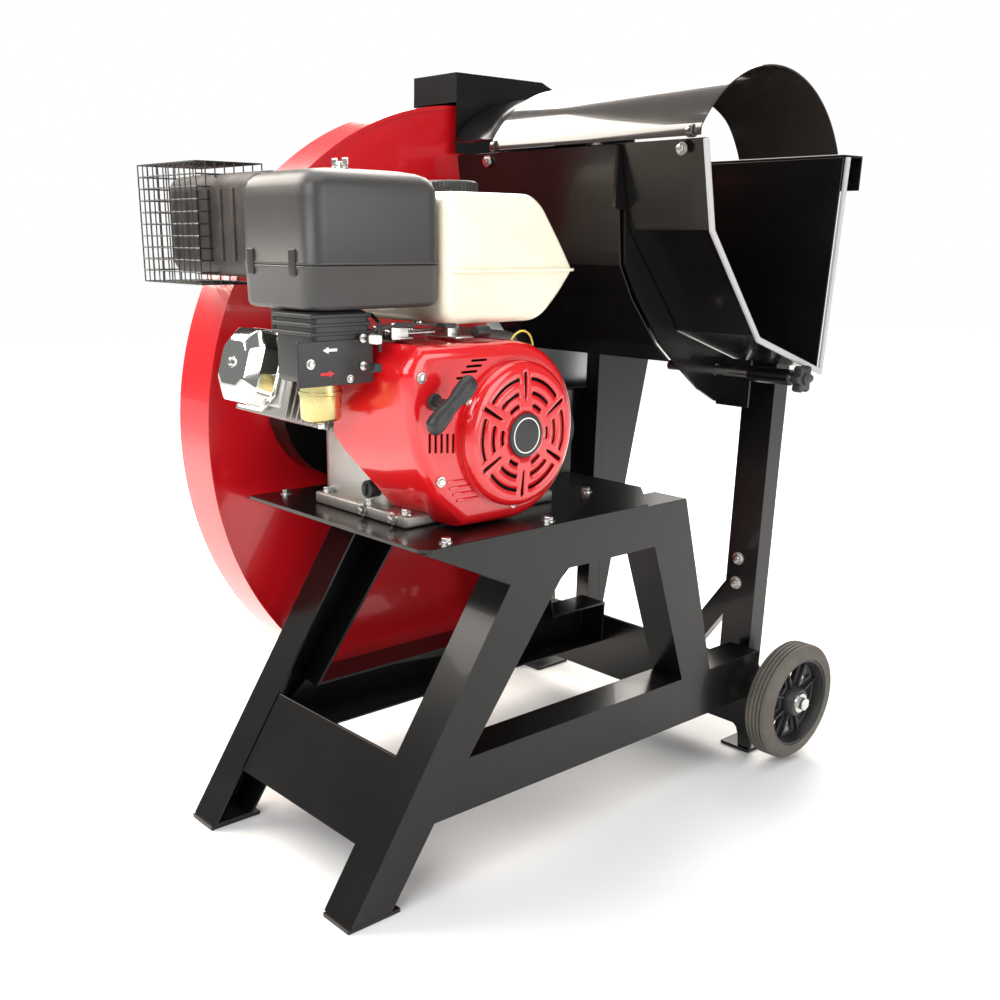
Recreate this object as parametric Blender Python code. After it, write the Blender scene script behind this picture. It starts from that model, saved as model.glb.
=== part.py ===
"""Petrol rocking log saw: steel stand, engine, belt-driven blade and a rocking log cradle.

The machine stands on the floor at z = 0. +X runs along the trough towards its open end, +Y
points at the side where the operator stands, +Z is up. The origin is on the floor under the
middle of the overall box. Every size is in metres.
"""

import math

import bmesh
import bpy
from mathutils import Matrix, Vector

GAP = 0.0003                      # clearance left between pieces that touch

# --- stand ---------------------------------------------------------------------------------
FRAME_WIDTH = 0.409               # over the outside faces of the two side frames
FRAME_SHEET = 0.004
FLANGE = 0.060                    # depth of the folded edges of a side frame
PLATE_TOP = 0.490                 # upper face of the engine plate
PLATE_THICK = 0.005
PLATE_FRONT_Y = -0.350
PLATE_REAR_Y = 0.150
RAIL_BOTTOM = 0.111
RAIL_TOP = 0.190
FOOT_THICK = 0.006
FOOT_WIDTH = 0.058
FOOT_LENGTH = 0.085
FRONT_FOOT_Y = -0.469             # front edge of the front feet
REAR_PLATE_Y = 0.391              # front face of the rear cross plate
REAR_PLATE_THICK = 0.0055
REAR_PLATE_LEFT = -FRAME_WIDTH / 2 - 0.1655
REAR_PLATE_BOTTOM = 0.044
REAR_PLATE_TOP = 0.1625

# --- axle, wheels and rocking pivot --------------------------------------------------------
AXLE_R = 0.010
WHEEL_R = 0.100
FLOOR_CLEARANCE = 0.008           # the feet carry the saw; the wheels touch only when it is tipped
AXLE_Z = WHEEL_R + FLOOR_CLEARANCE
ARM_HALF = 0.018                  # half the depth of the post, and radius of the arms' ends
AXLE_Y = REAR_PLATE_Y + REAR_PLATE_THICK + 0.0075 + ARM_HALF
PIVOT_TUBE_R = 0.0165
WHEEL_WIDTH = 0.044
WHEEL_OUT = 0.0685                # outer face of a wheel beyond the rear cross plate's end
TYRE_DEPTH = 0.024

# --- drive ---------------------------------------------------------------------------------
CRANK_Y, CRANK_Z = -0.162, PLATE_TOP + 0.1185
ARBOR_Y, ARBOR_Z = 0.1114, PLATE_TOP + 0.0685
ARBOR_END = -0.030                # the shaft stops inside the right bearing block
ARBOR_R = 0.015
BLADE_R = 0.400
BLADE_THICK = 0.0045
BLADE_X = -FRAME_WIDTH / 2 - 0.0930
BLADE_TEETH = 56
TOOTH_DEPTH = 0.013
CRANK_PULLEY_R = 0.040
ARBOR_PULLEY_R = 0.090
BELT_DEPTH = 0.009
BELT_PLAY = 0.0009                # between the belt's underside and the bottom of a groove
PULLEY_X1 = -FRAME_WIDTH / 2 - 0.0075
PULLEY_X0 = PULLEY_X1 - 0.033

# --- blade housing -------------------------------------------------------------------------
HOUSING_R = 0.4885
HOUSING_X0, HOUSING_X1 = BLADE_X - 0.0425, BLADE_X + 0.0425
HOUSING_BOTTOM = 0.143
HOUSING_SPLIT_Y = 0.170           # where the red shell ends and the black one begins
REAR_SHELL_BOTTOM = 0.173
REAR_SHELL_TOP = 0.585
REAR_SHELL_R = 0.440
HOUSING_SHEET = 0.002
COVER_X0, COVER_X1 = HOUSING_X0 - 0.005, HOUSING_X1 + 0.013

# --- cradle --------------------------------------------------------------------------------
TROUGH_X0, TROUGH_X1 = COVER_X1 + 0.0202, 0.255
TROUGH_SHEET = 0.003
TROUGH_PROFILE = [(0.0751, 0.972), (0.1025, 0.861), (0.2253, 0.718), (0.3885, 0.664), (0.4004, 0.963)]
SKIN_PROFILE = [(0.0705, 0.971), (0.0840, 0.886), (0.0920, 0.813), (0.1210, 0.766), (0.1810, 0.698), (0.2150, 0.672)]
POST_WIDTH = 0.0595
POST_X0 = 0.1139
POST_TOP = 0.860
POST_WALL = 0.003
SADDLE_THICK = 0.005
HOOD_CENTRE = (0.2179, 0.884)
HOOD_R = 0.1842
HOOD_X0, HOOD_X1 = -0.135, 0.2545
HOOD_SHEET = 0.002
STOP_ROD_Y, STOP_ROD_Z, STOP_ROD_R = 0.330, 0.653, 0.008

# --- engine --------------------------------------------------------------------------------
CYLINDER_TILT = math.radians(17.6)
CYLINDER_X = -0.045
COWL_R = 0.1165
COWL_X0, COWL_X1 = 0.050, 0.165
RECOIL_R = 0.094
RECOIL_X1 = 0.185
SHELL = 0.0025                    # wall of the moulded and pressed engine covers

# --- the middle of the overall box, where the origin goes ------------------------------------
AXLE_TIP = 0.005                  # how far the axle stands out of a wheel
KNOB_REACH = 0.024                # how far the stop's knob stands out of the trough
COVER_REAR_Y = 0.606
ORIGIN = Vector(((REAR_PLATE_LEFT - WHEEL_OUT - AXLE_TIP + TROUGH_X1 + KNOB_REACH) / 2,
                 (FRONT_FOOT_Y + COVER_REAR_Y + HOUSING_SHEET / 2) / 2, 0.0))


# --- scene, materials and pivots -------------------------------------------------------------
def clear_scene():
    for obj in list(bpy.data.objects):
        bpy.data.objects.remove(obj, do_unlink=True)


def make_material(name, colour, roughness, metallic=0.0):
    material = bpy.data.materials.new(name)
    material.use_nodes = True
    shader = material.node_tree.nodes["Principled BSDF"]
    shader.inputs["Base Color"].default_value = (*colour, 1.0)
    shader.inputs["Roughness"].default_value = roughness
    shader.inputs["Metallic"].default_value = metallic
    return material


clear_scene()
BLACK = make_material("black_gloss_paint", (0.012, 0.012, 0.014), 0.22)
RED = make_material("red_gloss_paint", (0.62, 0.012, 0.02), 0.25)
GREY_TRIM = make_material("grey_trim", (0.55, 0.55, 0.55), 0.5)
STEEL = make_material("bright_steel", (0.6, 0.6, 0.6), 0.3, 1.0)
ALUMINIUM = make_material("cast_aluminium", (0.55, 0.55, 0.54), 0.45, 1.0)
CHROME = make_material("chrome", (0.8, 0.82, 0.82), 0.08, 1.0)
PLASTIC = make_material("black_plastic", (0.035, 0.035, 0.037), 0.5)
DARK_GREY = make_material("dark_grey_plastic", (0.06, 0.06, 0.065), 0.45)
CREAM = make_material("cream_tank", (0.83, 0.8, 0.68), 0.3)
RUBBER = make_material("grey_rubber", (0.2, 0.19, 0.18), 0.8)
ZINC = make_material("yellow_zinc", (0.55, 0.5, 0.3), 0.35, 1.0)
FILTER = make_material("filter_paper", (0.75, 0.6, 0.3), 0.9)

MACHINE = bpy.data.objects.new("machine", None)
MACHINE.location = -ORIGIN
bpy.context.scene.collection.objects.link(MACHINE)


def make_pivot(name, location, parent=MACHINE):
    """An empty on a joint's axis. Its location is given from the machine's own frame."""
    pivot = bpy.data.objects.new(name, None)
    pivot.parent = parent
    pivot["place"] = location
    pivot.location = Vector(location) - Vector(parent.get("place", (0.0, 0.0, 0.0)))
    bpy.context.scene.collection.objects.link(pivot)
    return pivot


def finish(name, bm, material, pivot=MACHINE, smooth=None, recalculate=True):
    """Turns a bmesh, drawn in the machine's frame, into an object that hangs on a pivot."""
    bmesh.ops.remove_doubles(bm, verts=bm.verts, dist=1e-6)
    if recalculate:
        bmesh.ops.recalc_face_normals(bm, faces=bm.faces)
    bmesh.ops.translate(bm, verts=bm.verts, vec=-Vector(pivot.get("place", (0.0, 0.0, 0.0))))
    mesh = bpy.data.meshes.new(name)
    bm.to_mesh(mesh)
    bm.free()
    mesh.materials.append(material)
    obj = bpy.data.objects.new(name, mesh)
    obj.parent = pivot
    bpy.context.scene.collection.objects.link(obj)
    if smooth:
        mesh.shade_smooth()
        mesh.set_sharp_from_angle(angle=math.radians(smooth))
    return obj


# --- shapes ------------------------------------------------------------------------------------
AXES = {"X": 0, "Y": 1, "Z": 2}


def on_axis(axis, along, point):
    """A 3-D point from a distance along an axis and a 2-D point across it, in X, Y, Z order."""
    place = list(point)
    place.insert(AXES[axis], along)
    return Vector(place)


def prism(outline, axis, low, high):
    bm = bmesh.new()
    face = bm.faces.new([bm.verts.new(on_axis(axis, low, point)) for point in outline])
    grown = bmesh.ops.extrude_face_region(bm, geom=[face])
    moved = [item for item in grown["geom"] if isinstance(item, bmesh.types.BMVert)]
    bmesh.ops.translate(bm, verts=moved, vec=on_axis(axis, high - low, (0.0, 0.0)))
    bmesh.ops.recalc_face_normals(bm, faces=bm.faces)
    return bm


def ring_prism(outer, inner, axis, low, high):
    """A flat ring between two outlines with the same number of points."""
    bm = bmesh.new()
    loops = []
    for outline in (outer, inner):
        for along in (low, high):
            loops.append([bm.verts.new(on_axis(axis, along, point)) for point in outline])
    outer_low, outer_high, inner_low, inner_high = loops
    pairs = ((outer_low, outer_high), (outer_high, inner_high), (inner_high, inner_low), (inner_low, outer_low))
    for first, second in pairs:
        for i in range(len(first)):
            j = (i + 1) % len(first)
            bm.faces.new((first[i], first[j], second[j], second[i]))
    bmesh.ops.recalc_face_normals(bm, faces=bm.faces)
    return bm


def block(low, high, bevel=0.0, segments=2, edges=None):
    """A box between two corners, its edges rounded; edges picks which ones."""
    bm = bmesh.new()
    bmesh.ops.create_cube(bm, size=1.0)
    low, high = Vector(low), Vector(high)
    bmesh.ops.scale(bm, vec=high - low, verts=bm.verts)
    bmesh.ops.translate(bm, vec=(low + high) / 2, verts=bm.verts)
    if bevel:
        chosen = [edge for edge in bm.edges if edges is None or edges(edge)]
        bmesh.ops.bevel(bm, geom=chosen, offset=bevel, segments=segments, profile=0.5,
                        affect="EDGES", material=-1)
    return bm


def circle(centre, radius, count, start=0.0):
    step = 2 * math.pi / count
    return [(centre[0] + radius * math.cos(start + i * step), centre[1] + radius * math.sin(start + i * step))
            for i in range(count)]


def arc(centre, radius, start_deg, end_deg, count):
    """Points along an arc, both ends included."""
    points = []
    for i in range(count + 1):
        angle = math.radians(start_deg + (end_deg - start_deg) * i / count)
        points.append((centre[0] + radius * math.cos(angle), centre[1] + radius * math.sin(angle)))
    return points


def cylinder(axis, centre, low, high, radius, count=24):
    return prism(circle(centre, radius, count), axis, low, high)


def lathe(profile, centre, count=32, closed=False):
    """Turns (x, radius) points round the X axis through centre (y, z)."""
    bm = bmesh.new()
    points = [bm.verts.new((x, centre[0] + radius, centre[1])) for x, radius in profile]
    edges = [bm.edges.new(pair) for pair in zip(points, points[1:])]
    if closed:
        edges.append(bm.edges.new((points[-1], points[0])))
    bmesh.ops.spin(bm, geom=points + edges, cent=(0.0, *centre), axis=(1.0, 0.0, 0.0),
                   angle=2 * math.pi, steps=count, use_merge=True)
    bmesh.ops.remove_doubles(bm, verts=bm.verts, dist=1e-6)
    bmesh.ops.recalc_face_normals(bm, faces=bm.faces)
    return bm


def strip(outline, low, high, axis="X"):
    """A bent sheet without thickness: an open outline drawn out along an axis."""
    bm = bmesh.new()
    points = [bm.verts.new(on_axis(axis, low, point)) for point in outline]
    edges = [bm.edges.new(pair) for pair in zip(points, points[1:])]
    grown = bmesh.ops.extrude_edge_only(bm, edges=edges)
    moved = [item for item in grown["geom"] if isinstance(item, bmesh.types.BMVert)]
    bmesh.ops.translate(bm, verts=moved, vec=on_axis(axis, high - low, (0.0, 0.0)))
    return bm


def face_outwards(bm):
    """Makes every face of an open sheet look away from the middle of its shape."""
    bmesh.ops.recalc_face_normals(bm, faces=bm.faces)
    middle = sum((vert.co for vert in bm.verts), Vector()) / len(bm.verts)
    outward = sum(face.calc_area() * face.normal.dot(face.calc_center_median() - middle) for face in bm.faces)
    if outward < 0:
        bmesh.ops.reverse_faces(bm, faces=bm.faces)


def thicken(obj, thickness, offset=-1.0):
    solidify = obj.modifiers.new("sheet", "SOLIDIFY")
    solidify.thickness = thickness
    solidify.offset = offset
    solidify.use_even_offset = True
    return obj


def combine(obj, bm, operation, pivot=MACHINE):
    """Joins a shape to an object, or cuts it away, with a hidden helper."""
    helper = finish(f"{obj.name}_{operation.lower()}_{len(obj.modifiers)}", bm, obj.data.materials[0], pivot)
    helper.hide_render = True
    helper.display_type = "WIRE"
    boolean = obj.modifiers.new(operation.lower(), "BOOLEAN")
    boolean.operation = operation
    boolean.object = helper
    boolean.solver = "EXACT"
    return obj


def cut(obj, bm, pivot=MACHINE):
    return combine(obj, bm, "DIFFERENCE", pivot)


def join(obj, bm, pivot=MACHINE):
    return combine(obj, bm, "UNION", pivot)


def belt_loop(first, first_r, second, second_r, count=18):
    """The outline of a belt drawn round two circles: two arcs and the straight runs between."""
    across = (second[0] - first[0], second[1] - first[1])
    lean = math.degrees(math.atan2(across[1], across[0]))
    spread = math.degrees(math.acos((first_r - second_r) / math.hypot(*across)))
    around_first = arc(first, first_r, lean + spread, lean + 360 - spread, count)
    around_second = arc(second, second_r, lean - spread, lean + spread, count)
    return around_first + around_second


# --- stand -------------------------------------------------------------------------------------
HALF_WIDTH = FRAME_WIDTH / 2
LEG_FRONT_FOOT_Y = FRONT_FOOT_Y + 0.003
LEG_LEAN = 0.65                   # the front legs' run per unit of height


def leg_front(z):
    """Y of the front legs' front face at a height."""
    return LEG_FRONT_FOOT_Y + LEG_LEAN * (z - FOOT_THICK)


def make_side_frame(name, side):
    """A folded sheet frame: front leg, rail, rear leg and apron round one window."""
    top = PLATE_TOP - PLATE_THICK - GAP
    foot = FOOT_THICK + GAP
    apron = 0.0635
    leg_depth = 0.068
    knee_z = top - 0.066
    rear_y = REAR_PLATE_Y - GAP
    points = {
        "corner": (PLATE_FRONT_Y + 0.002, top),
        "knee": (leg_front(knee_z), knee_z),
        "toe": (leg_front(foot), foot),
        "heel": (leg_front(foot) + leg_depth, foot),
        "rail_front": (-0.326, RAIL_BOTTOM),
        "rail_low": (rear_y, RAIL_BOTTOM),
        "rail_high": (rear_y, RAIL_TOP),
        "rear_foot": (0.2536, RAIL_TOP),
        "rear_top": (0.159, top),
        "window_front": (-0.266, RAIL_TOP),
        "window_knee": (-0.094, top - apron),
        "window_top": (0.0927, top - apron),
        "window_rear": (0.1824, RAIL_TOP),
    }
    panels = [("knee", "toe", "heel", "rail_front", "window_front", "window_knee"),
              ("corner", "knee", "window_knee", "window_top", "rear_top"),
              ("rear_top", "window_top", "window_rear", "rear_foot"),
              ("rail_front", "rail_low", "rail_high", "rear_foot", "window_rear", "window_front")]
    bm = bmesh.new()
    verts = {key: bm.verts.new(on_axis("X", side * HALF_WIDTH, point)) for key, point in points.items()}
    for panel in panels:
        bm.faces.new([verts[key] for key in panel])
    rim = [edge for edge in bm.edges if edge.is_boundary]
    grown = bmesh.ops.extrude_edge_only(bm, edges=rim)
    moved = [item for item in grown["geom"] if isinstance(item, bmesh.types.BMVert)]
    bmesh.ops.translate(bm, verts=moved, vec=(-side * FLANGE, 0.0, 0.0))
    face_outwards(bm)
    return thicken(finish(name, bm, BLACK, recalculate=False), FRAME_SHEET)


def make_stand():
    make_side_frame("side_frame_right", 1)
    make_side_frame("side_frame_left", -1)

    low, high = 0.085, 0.192
    recess = 0.002
    outline = [(leg_front(low) + recess, low), (leg_front(high) + recess, high),
               (leg_front(high) + recess + FRAME_SHEET, high), (leg_front(low) + recess + FRAME_SHEET, low)]
    inner = HALF_WIDTH - FLANGE - GAP
    finish("front_cross_plate", prism(outline, "X", -inner, inner), BLACK)

    right = HALF_WIDTH - 0.001
    for side, name in ((1, "foot_front_right"), (-1, "foot_front_left")):
        outer = side * HALF_WIDTH
        xs = sorted((outer, outer - side * FOOT_WIDTH))
        bm = block((xs[0], FRONT_FOOT_Y, 0.0), (xs[1], FRONT_FOOT_Y + FOOT_LENGTH, FOOT_THICK))
        finish(name, bm, BLACK)
    foot_y = REAR_PLATE_Y - 0.004
    for name, x0, x1 in (("foot_rear_right", right - FOOT_WIDTH, right),
                         ("foot_rear_left", REAR_PLATE_LEFT, REAR_PLATE_LEFT + FOOT_WIDTH)):
        finish(name, block((x0, foot_y, 0.0), (x1, foot_y + FOOT_LENGTH, FOOT_THICK)), BLACK)

    make_rear_cross_plate(right)
    make_engine_plate()


def make_rear_cross_plate(right):
    """Upright plate on two short legs, with lugs behind it that carry the axle."""
    foot = FOOT_THICK + GAP
    leg = 0.025
    sweep = 0.014
    depth = REAR_PLATE_BOTTOM - foot
    left = REAR_PLATE_LEFT
    curve = [(right - leg - sweep * (1 - math.cos(t)), foot + depth * math.sin(t))
             for t in (math.radians(a) for a in (0, 30, 60, 90))]
    mirrored = [(left + (right - x), z) for x, z in reversed(curve)]
    outline = ([(left, foot)] + list(reversed(mirrored)) + list(reversed(curve))
               + [(right, foot), (right, REAR_PLATE_TOP), (left, REAR_PLATE_TOP)])
    back = REAR_PLATE_Y + REAR_PLATE_THICK
    plate = finish("rear_cross_plate", prism(outline, "Y", REAR_PLATE_Y, back), BLACK)
    lug = 0.0065
    for x in (right - 0.0135, left + 0.004):
        shape = [(back - 0.001, AXLE_Z - 0.020), (AXLE_Y, AXLE_Z - 0.020)]
        shape += arc((AXLE_Y, AXLE_Z), 0.020, -90, 90, 8)[1:]
        shape += [(back - 0.001, AXLE_Z + 0.020)]
        join(plate, prism(shape, "X", x, x + lug))
    cut(plate, cylinder("X", (AXLE_Y, AXLE_Z), left - 0.01, right + 0.01, AXLE_R + GAP, 20))
    cut(plate, cylinder("Y", (right - 0.037, 0.0927), REAR_PLATE_Y - 0.01, back + 0.01, 0.005, 12))


def make_engine_plate():
    right = HALF_WIDTH + 0.005
    left = -HALF_WIDTH + 0.0125
    chamfer = 0.085
    outline = [(left, PLATE_FRONT_Y), (right - 0.012, PLATE_FRONT_Y), (right, PLATE_FRONT_Y + 0.012),
               (right, PLATE_REAR_Y - chamfer), (right - chamfer, PLATE_REAR_Y), (left, PLATE_REAR_Y)]
    plate = finish("engine_plate", prism(outline, "Z", PLATE_TOP - PLATE_THICK, PLATE_TOP), BLACK)
    inner = HALF_WIDTH - FLANGE - 0.0025
    lip_low = PLATE_TOP - 0.025
    join(plate, block((-inner, PLATE_REAR_Y - FRAME_SHEET, lip_low), (right - chamfer, PLATE_REAR_Y, PLATE_TOP - 0.001)))


# --- axle and wheels ---------------------------------------------------------------------------
def make_wheels():
    right = HALF_WIDTH - 0.001 + WHEEL_OUT
    left = REAR_PLATE_LEFT - WHEEL_OUT
    bar = cylinder("X", (AXLE_Y, AXLE_Z), left - AXLE_TIP, right + AXLE_TIP, AXLE_R, 20)
    finish("wheel_axle", bar, STEEL, smooth=40)
    centre = (AXLE_Y, AXLE_Z)
    for name, x0, sense in (("right", right - WHEEL_WIDTH, 1), ("left", left, -1)):
        pivot = make_pivot(f"wheel_{name}_pivot", (x0 + WHEEL_WIDTH / 2, AXLE_Y, AXLE_Z))
        x1 = x0 + WHEEL_WIDTH
        inner = WHEEL_R - TYRE_DEPTH
        crown = 0.006
        tyre = [(x0, inner), (x0, WHEEL_R - crown), (x0 + crown, WHEEL_R), (x1 - crown, WHEEL_R),
                (x1, WHEEL_R - crown), (x1, inner)]
        finish(f"tyre_{name}", lathe(tyre, centre, 36, closed=True), RUBBER, pivot, smooth=40)
        rim = inner - GAP
        web0, web1 = x0 + 0.016, x0 + 0.028
        hub = [(x0 + 0.002, rim), (x1 - 0.002, rim), (x1 - 0.002, rim - 0.006), (web1, rim - 0.012),
               (web1, 0.030), (x1 - 0.001, 0.024), (x1 - 0.001, AXLE_R + GAP), (x0 + 0.001, AXLE_R + GAP),
               (x0 + 0.001, 0.024), (web0, 0.030), (web0, rim - 0.012), (x0 + 0.002, rim - 0.006)]
        finish(f"wheel_hub_{name}", lathe(hub, centre, 36, closed=True), PLASTIC, pivot, smooth=40)


# --- blade, arbor and belt drive -----------------------------------------------------------------
def make_drive():
    arbor = make_pivot("arbor_pivot", (BLADE_X, ARBOR_Y, ARBOR_Z))
    crank = make_pivot("crank_pivot", (0.0, CRANK_Y, CRANK_Z))
    centre = (ARBOR_Y, ARBOR_Z)

    teeth = []
    step = 2 * math.pi / BLADE_TEETH
    for i in range(BLADE_TEETH):
        for turn, radius in ((0.0, BLADE_R), (0.25, BLADE_R - TOOTH_DEPTH)):
            angle = step * (i + turn)
            teeth.append((centre[0] + radius * math.cos(angle), centre[1] + radius * math.sin(angle)))
    bore = circle(centre, ARBOR_R + GAP, len(teeth))
    half = BLADE_THICK / 2
    finish("saw_blade", ring_prism(teeth, bore, "X", BLADE_X - half, BLADE_X + half), STEEL, arbor)

    collar_r = 0.0625
    inner_x = BLADE_X + half + GAP
    shaft_end = BLADE_X - 0.0365
    shaft = [(shaft_end, 0.0), (shaft_end, ARBOR_R), (inner_x, ARBOR_R), (inner_x, collar_r),
             (inner_x + 0.012, collar_r), (inner_x + 0.012, ARBOR_R), (ARBOR_END, ARBOR_R), (ARBOR_END, 0.0)]
    finish("arbor_shaft", lathe(shaft, centre, 28), STEEL, arbor, smooth=40)
    flange = [(BLADE_X - half - GAP, ARBOR_R + GAP), (BLADE_X - half - GAP, collar_r),
              (BLADE_X - half - 0.008, collar_r), (BLADE_X - half - 0.010, ARBOR_R + GAP)]
    finish("blade_flange", lathe(flange, centre, 28, closed=True), STEEL, arbor, smooth=40)
    nut_x = BLADE_X - half - 0.010 - GAP
    bored = circle(centre, (ARBOR_R + GAP) / math.cos(math.pi / 6), 6)
    nut = ring_prism(circle(centre, 0.025, 6), bored, "X", nut_x - 0.018, nut_x)
    finish("arbor_nut", nut, STEEL, arbor)

    for name, place, radius, bore_r, pivot in (
            ("arbor_pulley", centre, ARBOR_PULLEY_R, ARBOR_R, arbor),
            ("crank_pulley", (CRANK_Y, CRANK_Z), CRANK_PULLEY_R, 0.0125, crank)):
        finish(name, lathe(pulley_profile(radius, bore_r + GAP), place, 36, closed=True), ALUMINIUM, pivot,
               smooth=40)

    middle = (PULLEY_X0 + PULLEY_X1) / 2
    run = 0.0125
    outer = belt_loop((CRANK_Y, CRANK_Z), CRANK_PULLEY_R, centre, ARBOR_PULLEY_R)
    inner = belt_loop((CRANK_Y, CRANK_Z), CRANK_PULLEY_R - BELT_DEPTH, centre, ARBOR_PULLEY_R - BELT_DEPTH)
    finish("drive_belt", ring_prism(outer, inner, "X", middle - run, middle + run), RUBBER)

    make_bearing_block("bearing_block_left", -0.160, -0.115)
    make_bearing_block("bearing_block_right", ARBOR_END - 0.0295, ARBOR_END + 0.0015)

    crank_centre = (CRANK_Y, CRANK_Z)
    crank_end = PULLEY_X0 - 0.004
    shaft = [(crank_end, 0.0), (crank_end, 0.0125), (-0.080, 0.0125), (-0.080, 0.0175), (-0.062, 0.0175),
             (-0.062, 0.052), (-0.028, 0.052), (-0.028, 0.0175), (0.020, 0.0175), (0.020, 0.0125),
             (0.128, 0.0125), (0.128, 0.0)]
    finish("crankshaft", lathe(shaft, crank_centre, 24), STEEL, crank, smooth=40)
    flywheel = [(0.078, 0.0128), (0.078, 0.085), (0.088, 0.094), (0.100, 0.094), (0.104, 0.070), (0.118, 0.060),
                (0.118, 0.0128)]
    finish("flywheel", lathe(flywheel, crank_centre, 32, closed=True), ALUMINIUM, crank, smooth=40)


def pulley_profile(radius, bore):
    """Twin-groove pulley: rims stand above a groove that the belt fills."""
    middle = (PULLEY_X0 + PULLEY_X1) / 2
    run = 0.0125 + GAP
    seat = radius - BELT_DEPTH - BELT_PLAY
    rim = radius + 0.002
    return [(PULLEY_X0, bore), (PULLEY_X0, rim), (middle - run, rim), (middle - run, seat), (middle + run, seat),
            (middle + run, rim), (PULLEY_X1, rim), (PULLEY_X1, bore)]


def make_bearing_block(name, x0, bore_end):
    width = 0.035
    base = PLATE_TOP + GAP
    outline = [(ARBOR_Y - 0.0745, base), (PLATE_REAR_Y - 0.001, base), (PLATE_REAR_Y - 0.001, base + 0.016)]
    outline += arc((ARBOR_Y, ARBOR_Z), 0.043, -30, 215, 12)
    outline += [(ARBOR_Y - 0.0745, base + 0.016)]
    bm = prism(outline, "X", x0, x0 + width)
    obj = finish(name, bm, PLASTIC, smooth=40)
    cut(obj, cylinder("X", (ARBOR_Y, ARBOR_Z), x0 - 0.01, bore_end, ARBOR_R + GAP, 28))


# --- fixed blade housing and belt guard ------------------------------------------------------------
def make_housing():
    centre = (ARBOR_Y, ARBOR_Z)
    top_deg = math.degrees(math.acos((HOUSING_SPLIT_Y - ARBOR_Y) / HOUSING_R))
    low_deg = 180 + math.degrees(math.asin((ARBOR_Z - HOUSING_BOTTOM) / HOUSING_R))
    rim = arc(centre, HOUSING_R, top_deg, low_deg, 26)
    outline = rim + [(HOUSING_SPLIT_Y, HOUSING_BOTTOM)]
    housing = finish("blade_housing", shell_between(outline, len(rim), HOUSING_X0, HOUSING_X1), RED,
                     smooth=40, recalculate=False)
    thicken(housing, HOUSING_SHEET)
    cut(housing, cylinder("X", centre, BLADE_X - 0.0025, HOUSING_X1 + 0.01, 0.030, 24))

    start = -math.degrees(math.asin((ARBOR_Z - REAR_SHELL_BOTTOM) / REAR_SHELL_R))
    end = math.degrees(math.asin((REAR_SHELL_TOP - ARBOR_Z) / REAR_SHELL_R))
    rim = arc(centre, REAR_SHELL_R, start, end, 10)
    split = HOUSING_SPLIT_Y + GAP
    outline = rim + [(split, REAR_SHELL_TOP), (split, REAR_SHELL_BOTTOM)]
    lower = finish("blade_housing_rear", shell_between(outline, len(rim), HOUSING_X0, HOUSING_X1), BLACK,
                   smooth=40, recalculate=False)
    thicken(lower, HOUSING_SHEET)

    guard = belt_loop((CRANK_Y, CRANK_Z), 0.115, centre, 0.101, 14)
    x0, x1 = PULLEY_X0 - 0.0055, PULLEY_X1 + 0.0045
    cover = finish("belt_guard", shell_between(guard, len(guard) + 1, x0, x1, back=False), BLACK,
                   recalculate=False)
    thicken(cover, HOUSING_SHEET)
    cut(cover, cylinder("X", centre, x1 - 0.01, x1 + 0.01, 0.026, 20))
    cut(cover, cylinder("X", (CRANK_Y, CRANK_Z), x1 - 0.01, x1 + 0.01, 0.026, 20))


def shell_between(outline, rim_count, low, high, back=True):
    """Two flat walls across X with a rim that joins their first rim_count points, all without thickness."""
    bm = bmesh.new()
    near = [bm.verts.new(on_axis("X", high, point)) for point in outline]
    far = [bm.verts.new(on_axis("X", low, point)) for point in outline]
    bm.faces.new(near)
    if back:
        bm.faces.new(far)
    for i in range(rim_count - 1):
        j = (i + 1) % len(outline)
        bm.faces.new((near[i], near[j], far[j], far[i]))
    face_outwards(bm)
    return bm


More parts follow.
